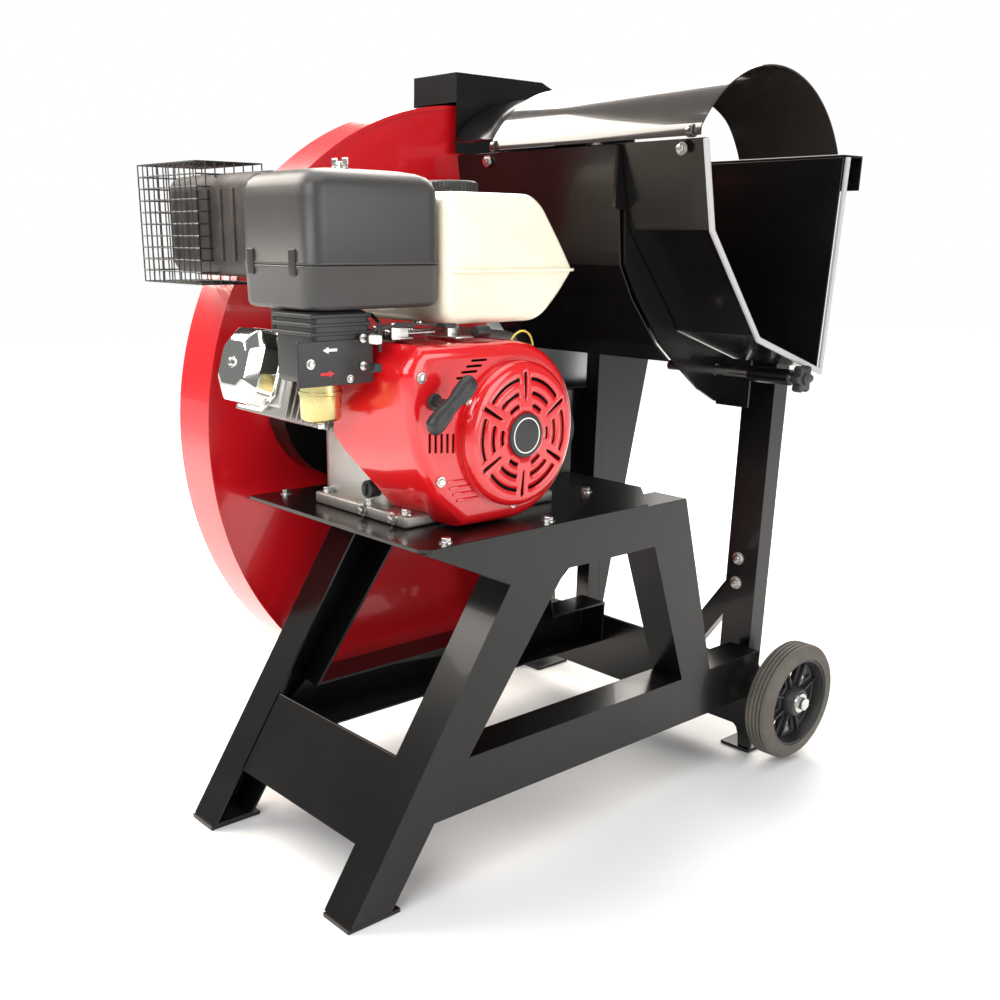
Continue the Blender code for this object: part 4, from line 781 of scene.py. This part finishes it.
piece("panel_arrow_white", slab(arrow(-0.408, 0.7245, -1), "X", 0.1203, 0.1207), MARK_WHITE, "stand",
      ("intake_elbow",))
piece("panel_arrow_red", slab(arrow(-0.432, 0.6975, 1), "X", 0.1203, 0.1207), MARK_RED, "stand",
      ("intake_elbow",))
for name, z, tip_finish in (("choke", 0.736, MARK_WHITE), ("fuel", 0.704, MOULDED_BLACK)):
    body = f"{name}_lever"
    stalk = gather(block((0.1206, -0.3745, z - 0.0022), (0.1460, -0.3695, z + 0.0022), 0.0008),
                   drum("X", (-0.372, z), 0.1206, 0.1245, 0.0055, 24, 0.0008))
    piece(f"{name}_stalk", stalk, ZINC_BRIGHT, body, (body,))
    tip = block((0.1400, -0.3775, z - 0.0050), (0.1540, -0.3665, z + 0.0050), 0.0022)
    piece(f"{name}_tip", tip, tip_finish, body, (body,))
lever = gather(block((0.0770, -0.2655, 0.7447), (0.1370, -0.2505, 0.7473), 0.0008),
               drum("Z", (0.085, -0.258), 0.7447, 0.7495, 0.0065, 24, 0.0008))
piece("throttle_plate", lever, ZINC_BRIGHT, "throttle_lever", ("throttle_lever",))
knob = block((0.1300, -0.2670, 0.7440), (0.1500, -0.2490, 0.7500), 0.0022)
piece("throttle_knob", knob, MOULDED_BLACK, "throttle_lever", ("throttle_lever",))

# %% Governor linkage above the cowl
def rod(points, radius, sides=10):
    shapes = []
    for start, end in zip(points, points[1:]):
        start, end = Vector(start), Vector(end)
        length = (end - start).length
        bar = drum("Z", (0.0, 0.0), 0.0, length, radius, sides)
        ball = bmesh.new()
        bmesh.ops.create_uvsphere(ball, u_segments=sides, v_segments=6, radius=radius)
        shapes.append(aim(gather(bar, ball), start, end - start))
    return gather(*shapes)


def spring(start, end, radius, turns, wire):
    start, end = Vector(start), Vector(end)
    length = (end - start).length
    coil = [(radius * math.cos(k * math.pi / 6), radius * math.sin(k * math.pi / 6),
             length * k / (12 * turns))
            for k in range(12 * turns + 1)]
    return aim(rod(coil, wire, 6), start, end - start)


linkage = [rod([(0.118, -0.352, 0.7480), (0.124, -0.320, 0.7385), (0.122, -0.262, 0.7385)], 0.0016),
           rod([(0.096, -0.340, 0.7380), (0.100, -0.300, 0.7400), (0.090, -0.240, 0.7385)], 0.0014),
           spring((0.112, -0.335, 0.7395), (0.108, -0.286, 0.7395), 0.0040, 12, 0.0007),
           block((0.082, -0.332, 0.7320), (0.128, -0.300, 0.7345), 0.0008),
           block((0.124, -0.332, 0.7330), (0.1265, -0.306, 0.7520), 0.0008),
           block((0.070, -0.235, 0.7290), (0.132, -0.205, 0.7315), 0.0008),
           block((0.110, -0.232, 0.7300), (0.1130, -0.212, 0.7435), 0.0008)]
piece("governor_linkage", gather(*linkage), ZINC_BRIGHT, "stand")
clamps = [block((0.098, -0.326, 0.7340), (0.116, -0.306, 0.7480), 0.0030),
          block((0.088, -0.300, 0.7300), (0.112, -0.286, 0.7430), 0.0030),
          drum("Y", (0.128, 0.7360), -0.200, -0.178, 0.0075, 24, 0.001)]
hose = [(0.130 - 0.010 * math.cos(k * 0.5), -0.352 + 0.012 * k,
         0.7440 + 0.0050 * math.sin(k * 0.55)) for k in range(5)]
clamps.append(rod(hose, 0.0032, 12))
piece("governor_clamps", gather(*clamps), MOULDED_BLACK, "stand")
cable = [(0.060, -0.340, 0.7560), (0.090, -0.335, 0.7600), (0.120, -0.345, 0.7520), (0.128, -0.352, 0.7350),
         (0.126, -0.349, 0.7200)]
piece("stop_cable", rod(cable, 0.0022, 12), MOULDED_BLACK, "stand")
loop = [(0.128 + 0.002 * math.sin(k * 0.4), -0.118 + 0.022 * math.cos(k * 0.35),
         0.7080 + 0.026 * math.sin(k * 0.35))
        for k in range(10)]
piece("yellow_wire", rod(loop, 0.0013, 10), WIRE_YELLOW, "stand")

# %% Carburettor
bowl = turned_upright([(0.6335, 0.0), (0.6335, 0.006), (0.6360, 0.007), (0.6360, 0.0180), (0.6375, 0.0225),
                       (0.6410, 0.0250), (0.6680, 0.0255), (0.6690, 0.0270), (0.6725, 0.0270),
                       (0.6725, 0.0250),
                       (0.6825, 0.0250), (0.6825, 0.0)], (0.075, -0.402), 64)
piece("carburettor_bowl", bowl, PASSIVATED, "stand", ("carburettor",), smooth=40)
drain = aim(drum("Z", (0.0, 0.0), 0.0, 0.008, 0.0045, 6, 0.0004), (0.075, -0.402, 0.6265), (0, 0, 1))
piece("carburettor_drain", drain, ZINC_BRIGHT, "stand", ("carburettor",))

# %% [markdown]
# ## Fuel tank
# The pressed tank is one profile seen from the side, drawn out along X with soft ends. A thin flange
# marks the seam where its two halves were rolled together, and the cap turns on its own body.

# %% Tank and cap
side = [(-0.2445, 0.7445), (-0.0750, 0.7445), (-0.0400, 0.7750), (-0.0150, 0.8050), (-0.0150, 0.8130),
        (-0.0396, 0.8470), (-0.0738, 0.8900), (-0.0950, 0.9030), (-0.2325, 0.9030), (-0.2445, 0.8910)]
tank = slab(rounded(side, 0.022, 6), "X", -0.130, 0.120)
soften(tank, 0.011, 5, lambda edge: abs(edge.verts[0].co.x - edge.verts[1].co.x) < 1e-6)
piece("tank_shell", tank, CREAM_ENAMEL, "stand", ("fuel_tank",), smooth=45)
seam = rounded([(-0.136, -0.2435), (0.126, -0.2435), (0.126, -0.0050), (-0.136, -0.0050)], 0.030, 10)
piece("tank_seam", slab(seam, "Z", 0.8070, 0.8110, 0.0014, 3), CREAM_ENAMEL, "stand",
      ("fuel_tank",))
neck_ring = turned_upright([(0.9020, 0.0300), (0.9020, 0.0370), (0.9032, 0.0360), (0.9032, 0.0300)],
                           (0.020, -0.150), 64, True)
piece("tank_neck", neck_ring, ZINC_BRIGHT, "stand", ("fuel_tank",))
cap = turned_upright([(0.9034, 0.0), (0.9034, 0.0345), (0.9045, 0.0355), (0.9160, 0.0350), (0.9185, 0.0335),
                      (0.9195, 0.0300), (0.9190, 0.0240), (0.9182, 0.0)], (0.020, -0.150), 72)
grips = []
for k in range(36):
    place = arc((0.020, -0.150), 0.0352, 10 * k, 10 * k, 1)[0]
    grips.append(drum("Z", place, 0.9045, 0.9168, 0.0014, 10, 0.0))
piece("tank_cap", gather(cap, *grips), MOULDED_BLACK, "fuel_cap", ("fuel_cap",), smooth=45)

# %% [markdown]
# ## Cylinder, rocker cover and crankcase
# The cylinder leans, so its pieces are drawn upright and then laid along one direction. The chromed
# rocker cover is an octagon drawn in twice, which gives the facets that catch the light.

# %% Rocker cover
TILT = math.radians(17.6)
ALONG = Vector((0.0, -math.cos(TILT), math.sin(TILT)))
ACROSS = Vector((0.0, math.sin(TILT), math.cos(TILT)))
HEAD_X = -0.055
lay = Matrix(((1.0, 0.0, 0.0), (0.0, ACROSS.y, ALONG.y), (0.0, ACROSS.z, ALONG.z))).to_4x4()


def laid(shape, distance, x=HEAD_X):
    """Lays a shape drawn along +Z onto the cylinder's axis, at a distance from the crank."""
    place = Vector((x, CRANK.y, CRANK.z)) + ALONG * distance
    bmesh.ops.transform(shape, matrix=Matrix.Translation(place) @ lay, verts=shape.verts)
    bmesh.ops.recalc_face_normals(shape, faces=shape.faces)
    return shape


half_x, half_n, corner = 0.050, 0.052, 0.022
octagon = [(-half_x, -half_n + corner), (-half_x + corner, -half_n), (half_x - corner, -half_n),
           (half_x, -half_n + corner), (half_x, half_n - corner), (half_x - corner, half_n),
           (-half_x + corner, half_n), (-half_x, half_n - corner)]
octagon = rounded(octagon, 0.004, 3)
dome = tower(octagon, [(0.2555, 1.00, 1.00), (0.2590, 1.00, 1.00), (0.2600, 0.93, 0.93), (0.2800, 0.92, 0.92),
                       (0.2835, 0.90, 0.90), (0.2860, 0.86, 0.86), (0.2950, 0.66, 0.66), (0.2975, 0.58, 0.58),
                       (0.2982, 0.50, 0.50)])
soften(dome, 0.0012, 2, lambda edge: len(edge.link_faces) == 2 and edge.calc_face_angle() > 0.6)
piece("rocker_dome", laid(dome, 0.0), CHROME, "stand", ("rocker_cover",), smooth=22)
corner_bolts = [bolt((x, y, 0.2590), (0, 0, 1), 0.0040) for x in (-0.036, 0.036) for y in (-0.040, 0.040)]
middle_bolt = bolt((0.0, 0.0, 0.2975), (0, 0, 1), 0.0052)
piece("rocker_bolts", laid(gather(middle_bolt, *corner_bolts), 0.0), ZINC_BRIGHT, "stand",
      ("rocker_cover",))

# %% Finned cylinder
fins = []
for k in range(11):
    low = 0.1610 + 0.0086 * k
    fins.append(block((-0.0590, -0.0540, low), (0.0590, 0.0540, low + 0.0028), 0.0010, 2))
core = block((-0.0480, -0.0430, 0.1600), (0.0480, 0.0430, 0.2545), 0.006)
barrel = drum("Z", (0.0, 0.0), 0.1500, 0.2540, 0.0460, 48)
piece("cylinder_fins", laid(gather(core, barrel, *fins), 0.0, -0.045), CAST_ALLOY, "stand",
      ("cylinder_head",))
plug = gather(drum("Z", (0.030, 0.046), 0.232, 0.262, 0.0052, 6, 0.0005),
              drum("Z", (0.030, 0.046), 0.240, 0.252, 0.0100, 6, 0.0008))
piece("spark_plug", laid(plug, 0.0, -0.045), ZINC_BRIGHT, "stand", ("cylinder_head",))

# %% Crankcase
base = PLATE_TOP + 0.0003
case = [block((-0.0970, -0.2850, base + 0.004), (0.0470, -0.0350, 0.7250), 0.018, 5),
        block((-0.0950, -0.3000, base), (0.1120, -0.0300, base + 0.0165), 0.0035, 3),
        drum("X", CRANK_CENTRE, -0.1010, -0.0900, 0.052, 64, 0.003),
        drum("X", CRANK_CENTRE, 0.0400, 0.0495, 0.060, 64, 0.003)]
for k in range(4):
    y = -0.2600 + 0.062 * k
    case.append(block((-0.0985, y, base + 0.014), (-0.0900, y + 0.006, 0.7000), 0.002))
for y in (-0.255, -0.070):
    case.append(block((0.0300, y, base + 0.014), (0.0490, y + 0.030, 0.5400), 0.005))
case.append(drum("Y", (-0.020, 0.640), -0.0400, -0.0310, 0.030, 48, 0.002))
piece("crankcase_casting", gather(*case), CAST_ALLOY, "stand", ("crankcase",))
heads = [bolt((x, y, base + 0.0165), (0, 0, 1), 0.0070) for x,
         y in ((-0.080, -0.288), (0.020, -0.288), (0.098, -0.288),
                                                                   (-0.080, -0.042), (0.098, -0.042))]
heads += [bolt((0.020, -0.3000, base + 0.010), (0, -1, 0), 0.0062),
          bolt((0.085, -0.3000, base + 0.010), (0, -1, 0), 0.0062)]
piece("crankcase_bolts", gather(*heads), ZINC_BRIGHT, "stand", ("crankcase",))
filler = gather(drum("Y", (0.030, 0.5300), -0.3020, -0.2830, 0.0120, 32, 0.002),
                block((0.0270, -0.3070, 0.5220), (0.0330, -0.3000, 0.5380), 0.002))
piece("oil_filler", filler, MOULDED_BLACK, "stand", ("crankcase",))

# %% [markdown]
# ## Exhaust with its wire guard
# The guard is a box of square cells turned into wire. The box is cut into a grid, its back is taken
# away, and the wireframe operator leaves a bar on each edge.

# %% Exhaust
silencer = gather(block((-0.2850, -0.4060, 0.8000), (-0.0520, -0.3300, 0.9250), 0.020, 5),
                  drum("Z", (-0.0750, -0.3560), 0.7350, 0.8040, 0.0150, 32))
for k in range(7):
    x = -0.262 + 0.031 * k
    silencer = gather(silencer, block((x, -0.4085, 0.8180), (x + 0.0080, -0.4030, 0.9070), 0.002, 2))
piece("silencer", silencer, SOOT_BLACK, "stand", ("muffler",))
seam_band = slab(rounded([(-0.2875, 0.7975), (-0.0495, 0.7975), (-0.0495, 0.9275), (-0.2875, 0.9275)], 0.020,
                         6), "Y", -0.3700, -0.3665, 0.001)
piece("silencer_seam", seam_band, SOOT_BLACK, "stand", ("muffler",))


def wire_box(low, high, cells, bar, is_gap):
    shape = bmesh.new()
    low, high = Vector(low), Vector(high)
    for axis in range(3):
        u, v = [k for k in range(3) if k != axis]
        for side in (low[axis], high[axis]):
            grid = [[None] * (cells[v] + 1) for _ in range(cells[u] + 1)]
            for i in range(cells[u] + 1):
                for j in range(cells[v] + 1):
                    place = Vector((0.0, 0.0, 0.0))
                    place[axis] = side
                    place[u] = low[u] + (high[u] - low[u]) * i / cells[u]
                    place[v] = low[v] + (high[v] - low[v]) * j / cells[v]
                    grid[i][j] = shape.verts.new(place)
            for i in range(cells[u]):
                for j in range(cells[v]):
                    shape.faces.new((grid[i][j], grid[i + 1][j], grid[i + 1][j + 1], grid[i][j + 1]))
    opened(shape, is_gap)
    bmesh.ops.remove_doubles(shape, verts=shape.verts, dist=1e-5)
    bmesh.ops.recalc_face_normals(shape, faces=shape.faces)
    bmesh.ops.wireframe(shape, faces=shape.faces, thickness=bar, use_replace=True, use_boundary=True,
                        use_even_offset=True)
    return shape


guard = wire_box((-0.3215, -0.4250, 0.7880), (-0.1600, -0.3260, 0.9400), (11, 7, 10), 0.0021,
                 lambda point: point.y > -0.3262)
piece("silencer_guard", guard, WIRE_BLACK, "stand", ("muffler_cage",), smooth=30)

# %% [markdown]
# ## Wheels
# Each tyre is one turned profile with four grooves. The hub's web is the same kind of shape, with
# eight wedge-shaped windows left open before Solidify gives the spokes their thickness.

# %% Wheels
for side in ("right", "left"):
    low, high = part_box(f"tyre_{side}")
    x0, x1 = low.x - DATUM.x, high.x - DATUM.x
    outer = (high.z - low.z) / 2
    body = f"wheel_{side}"
    centre = (AXLE.y, AXLE.z)
    tread = [(x0, outer - 0.024), (x0, outer - 0.010), (x0 + 0.0025, outer - 0.0045),
             (x0 + 0.0070, outer - 0.0005)]
    for k in range(4):
        groove = x0 + 0.0100 + 0.0070 * k
        tread += [(groove, outer), (groove + 0.0006, outer - 0.0028), (groove + 0.0024, outer - 0.0028),
                  (groove + 0.0030, outer)]
    tread += [(x1 - 0.0070, outer - 0.0005), (x1 - 0.0025, outer - 0.0045), (x1, outer - 0.010),
              (x1, outer - 0.024)]
    piece(f"tyre_{side}_tread", turned(tread, centre, 96, True), TYRE_GREY, body, (f"tyre_{side}",),
          smooth=40)
    rim_r = outer - 0.0243
    middle = (x0 + x1) / 2
    well = [(x0 + 0.002, rim_r), (x1 - 0.002, rim_r), (x1 - 0.002, rim_r - 0.004),
            (middle + 0.004, rim_r - 0.010),
            (middle - 0.004, rim_r - 0.010), (x0 + 0.002, rim_r - 0.004)]
    web = turned([(middle, rim_r - 0.008), (middle, rim_r - 0.014), (middle, 0.032), (middle, 0.020)], centre,
                 96)
    opened(web, lambda point: 0.032 < around(point, AXLE)[0] < rim_r - 0.014
           and not near_spoke(around(point, AXLE)[1], 7.6, 22.5, 45))
    piece(f"hub_{side}_web", web, MOULDED_BLACK, body, (f"wheel_hub_{side}",), wall=0.007,
          offset=0.0)
    ribs = [turned(well, centre, 96, True)]
    boss = turned([(x0 + 0.001, 0.0104), (x0 + 0.001, 0.022), (x0 + 0.004, 0.025), (middle, 0.029),
                   (x1 - 0.004, 0.025),
                   (x1 - 0.001, 0.022), (x1 - 0.001, 0.0104)], centre, 64, True)
    ribs.append(boss)
    for k in range(8):
        rib = block((middle - 0.010, 0.022, -0.0018), (middle + 0.010, rim_r - 0.006, 0.0018), 0.0006, 2)
        bmesh.ops.rotate(rib, cent=(0, 0, 0), matrix=Matrix.Rotation(math.radians(22.5 + 45 * k), 3, "X"),
                         verts=rib.verts)
        ribs.append(moved(rib, (0.0, AXLE.y, AXLE.z)))
    piece(f"hub_{side}_rim", gather(*ribs), MOULDED_BLACK, body, (f"wheel_hub_{side}",))
    sense = 1 if side == "right" else -1
    face = x1 if side == "right" else x0
    cap_bolt = bolt((face - 0.0010 * sense, AXLE.y, AXLE.z), (sense, 0, 0), 0.0115, 1.5)
    piece(f"wheel_{side}_bolt", cap_bolt, ZINC_BRIGHT, "stand", ("wheel_axle",))
bar_low, bar_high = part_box("wheel_axle")
axle_bar = drum("X", (AXLE.y, AXLE.z), bar_low.x - DATUM.x + 0.002, bar_high.x - DATUM.x - 0.002, 0.0100, 40,
                0.001)
piece("axle_bar", axle_bar, ZINC_BRIGHT, "stand", ("wheel_axle",))

# %% [markdown]
# ## Hood, guards and cradle
# The round parts of the guards are drawn again with many short steps, so that the light runs over them
# without facets. The hood is the widest arch, and the bridge joins it to the blade cover.

# %% Hood and bridge
HOOD_MIDDLE = (0.2179, 0.884)


def hood_angles(radius, near_z, far_z):
    near = 180 - math.degrees(math.asin((near_z - HOOD_MIDDLE[1]) / radius))
    return near, math.degrees(math.asin((far_z - HOOD_MIDDLE[1]) / radius))


near, far = hood_angles(0.1842, 0.985, 0.9665)
curve = arc(HOOD_MIDDLE, 0.1842, near, far, 72)
hood = piece("hood_skin", strip([(curve[0][0], 0.9745)] + curve, "X", -0.135, 0.2545), HOOD_BLACK, "hood",
             ("hood",), smooth=50, wall=0.002)
notch = block((-0.150, 0.290, 0.930), (0.085, 0.450, 1.055), 0.045, 8,
              lambda edge: all(v.co.x > 0.08 and v.co.z > 1.05 for v in edge.verts))
carve(hood, notch)
tabs = []
for x in (-0.134, 0.234):
    tabs += [drum("X", (0.066, 0.980), x, x + 0.010, 0.0080, 32, 0.001)]
piece("hood_lugs", gather(*tabs), HOOD_BLACK, "hood", ("hood",))
near, far = hood_angles(0.176, 0.990, 0.968)
piece("bridge_skin", strip(arc(HOOD_MIDDLE, 0.176, near, far, 64), "X", -0.2405, -0.100), POWDER_BLACK,
      "cradle",
      ("hood_bridge",), smooth=50, wall=0.002)
hinge_bolts = [bolt((x, 0.0700, 0.9600), (0, -1, 0), 0.0060) for x in (-0.150, 0.222)]
piece("hinge_bolts", gather(*hinge_bolts), ZINC_BRIGHT, "cradle")


# %% Blade housing
def guard_shell(outline, rim_count, low, high):
    shape = bmesh.new()
    near_wall = [shape.verts.new(on_axis("X", high, point)) for point in outline]
    far_wall = [shape.verts.new(on_axis("X", low, point)) for point in outline]
    shape.faces.new(near_wall)
    shape.faces.new(far_wall)
    for i in range(rim_count - 1):
        shape.faces.new((near_wall[i], near_wall[i + 1], far_wall[i + 1], far_wall[i]))
    return outward(shape)


ARBOR_CENTRE = (ARBOR.y, ARBOR.z)
HOUSING_RADIUS, LIP_RADIUS, REAR_RADIUS = 0.4885, 0.4825, 0.440
HOUSING_FLAT = 0.143                  # height of the housing's flat bottom edge
REAR_LOW, REAR_HIGH = 0.173, 0.585    # the black rear shell's lower and upper edges
FAR_SIDE, NEAR_SIDE = -0.340, -0.255  # the housing's two faces along the shaft
split = 0.170                         # where the red half ends and the black one begins

top_angle = math.degrees(math.acos((split - ARBOR.y) / HOUSING_RADIUS))
low_angle = 180 + math.degrees(math.asin((ARBOR.z - HOUSING_FLAT) / HOUSING_RADIUS))
edge_line = arc(ARBOR_CENTRE, HOUSING_RADIUS, top_angle, low_angle, 120)
shell = piece("housing_shell",
              guard_shell(edge_line + [(split, HOUSING_FLAT)], len(edge_line), FAR_SIDE, NEAR_SIDE),
              GUARD_RED, "stand", ("blade_housing",), smooth=40, wall=0.002)
carve(shell, drum("X", ARBOR_CENTRE, -0.30, -0.245, 0.030, 48))
lip_inner = arc(ARBOR_CENTRE, LIP_RADIUS, top_angle, low_angle, 120)
lip = slab(edge_line + list(reversed(lip_inner)), "X", -0.2553, -0.2535)
piece("housing_lip", lip, GUARD_RED, "stand", ("blade_housing",), smooth=40)
rear_start = -math.degrees(math.asin((ARBOR.z - REAR_LOW) / REAR_RADIUS))
rear_end = math.degrees(math.asin((REAR_HIGH - ARBOR.z) / REAR_RADIUS))
rear_line = arc(ARBOR_CENTRE, REAR_RADIUS, rear_start, rear_end, 48)
rear_front = split + 0.0003           # a hair behind the red half, so the two faces never coincide
rear_outline = rear_line + [(rear_front, REAR_HIGH), (rear_front, REAR_LOW)]
piece("housing_rear_shell", guard_shell(rear_outline, len(rear_line), FAR_SIDE, NEAR_SIDE),
      POWDER_BLACK, "stand", ("blade_housing_rear",), smooth=40, wall=0.002)

# %% Trim, knob and frame bolts
wall_line = [(0.0751, 0.972), (0.1025, 0.861), (0.2253, 0.718), (0.3885, 0.664), (0.4004, 0.963)]
bead = slab(wall_line + [(y, z) for y, z in reversed([(0.0678, 0.9705), (0.0955, 0.8575), (0.2222, 0.7105),
                                                       (0.3945, 0.6535), (0.4078, 0.9630)])], "X", 0.2553,
                                                       0.2612, 0.0018, 3)
piece("trim_bead", bead, TRIM_GREY, "cradle", ("trough_trim",), smooth=50)
KNOB = middle_of("stop_knob")
star = []
for k in range(6):
    for turn_part, radius in ((0.0, 0.0210), (0.18, 0.0205), (0.34, 0.0165), (0.5, 0.0145), (0.66, 0.0165),
                              (0.82, 0.0205)):
        angle = 2 * math.pi * (k + turn_part) / 6
        star.append((KNOB.y + radius * math.cos(angle), KNOB.z + radius * math.sin(angle)))
star_shape = slab(star, "X", 0.2600, 0.2750)
soften(star_shape, 0.002, 3, lambda edge: abs(edge.verts[0].co.x - edge.verts[1].co.x) < 1e-6)
knob_parts = gather(star_shape, drum("X", (KNOB.y, KNOB.z), 0.2740, 0.2785, 0.0085, 32, 0.001))
piece("stop_star", knob_parts, MOULDED_BLACK, "stop_knob", ("stop_knob",), smooth=50)
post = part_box("cradle_post")
post_y = post[0].y - DATUM.y
piece("post_bolts", gather(bolt((0.136, post_y, 0.335), (0, -1, 0), 0.0080),
                           bolt((0.136, post_y, 0.292), (0, -1, 0), 0.0080),
                           bolt((0.152, post_y, 0.640), (0, -1, 0), 0.0070)), ZINC_BRIGHT, "cradle")
feet = []
for name in ("bearing_block_right", "bearing_block_left"):
    feet.append(bolt((middle_of(name).x, 0.0480, PLATE_TOP + 0.0163), (0, 0, 1), 0.0065))
feet.append(bolt((0.0964, 0.0553, PLATE_TOP), (0, 0, 1), 0.0070))
piece("bearing_bolts", gather(*feet), ZINC_BRIGHT, "stand")
plate_bolts = [bolt((0.192, y, PLATE_TOP), (0, 0, 1), 0.0065) for y in (-0.300, -0.120)]
plate_bolts += [bolt((-0.170, y, PLATE_TOP), (0, 0, 1), 0.0065) for y in (-0.300, -0.120)]
piece("plate_bolts", gather(*plate_bolts), ZINC_BRIGHT, "stand")
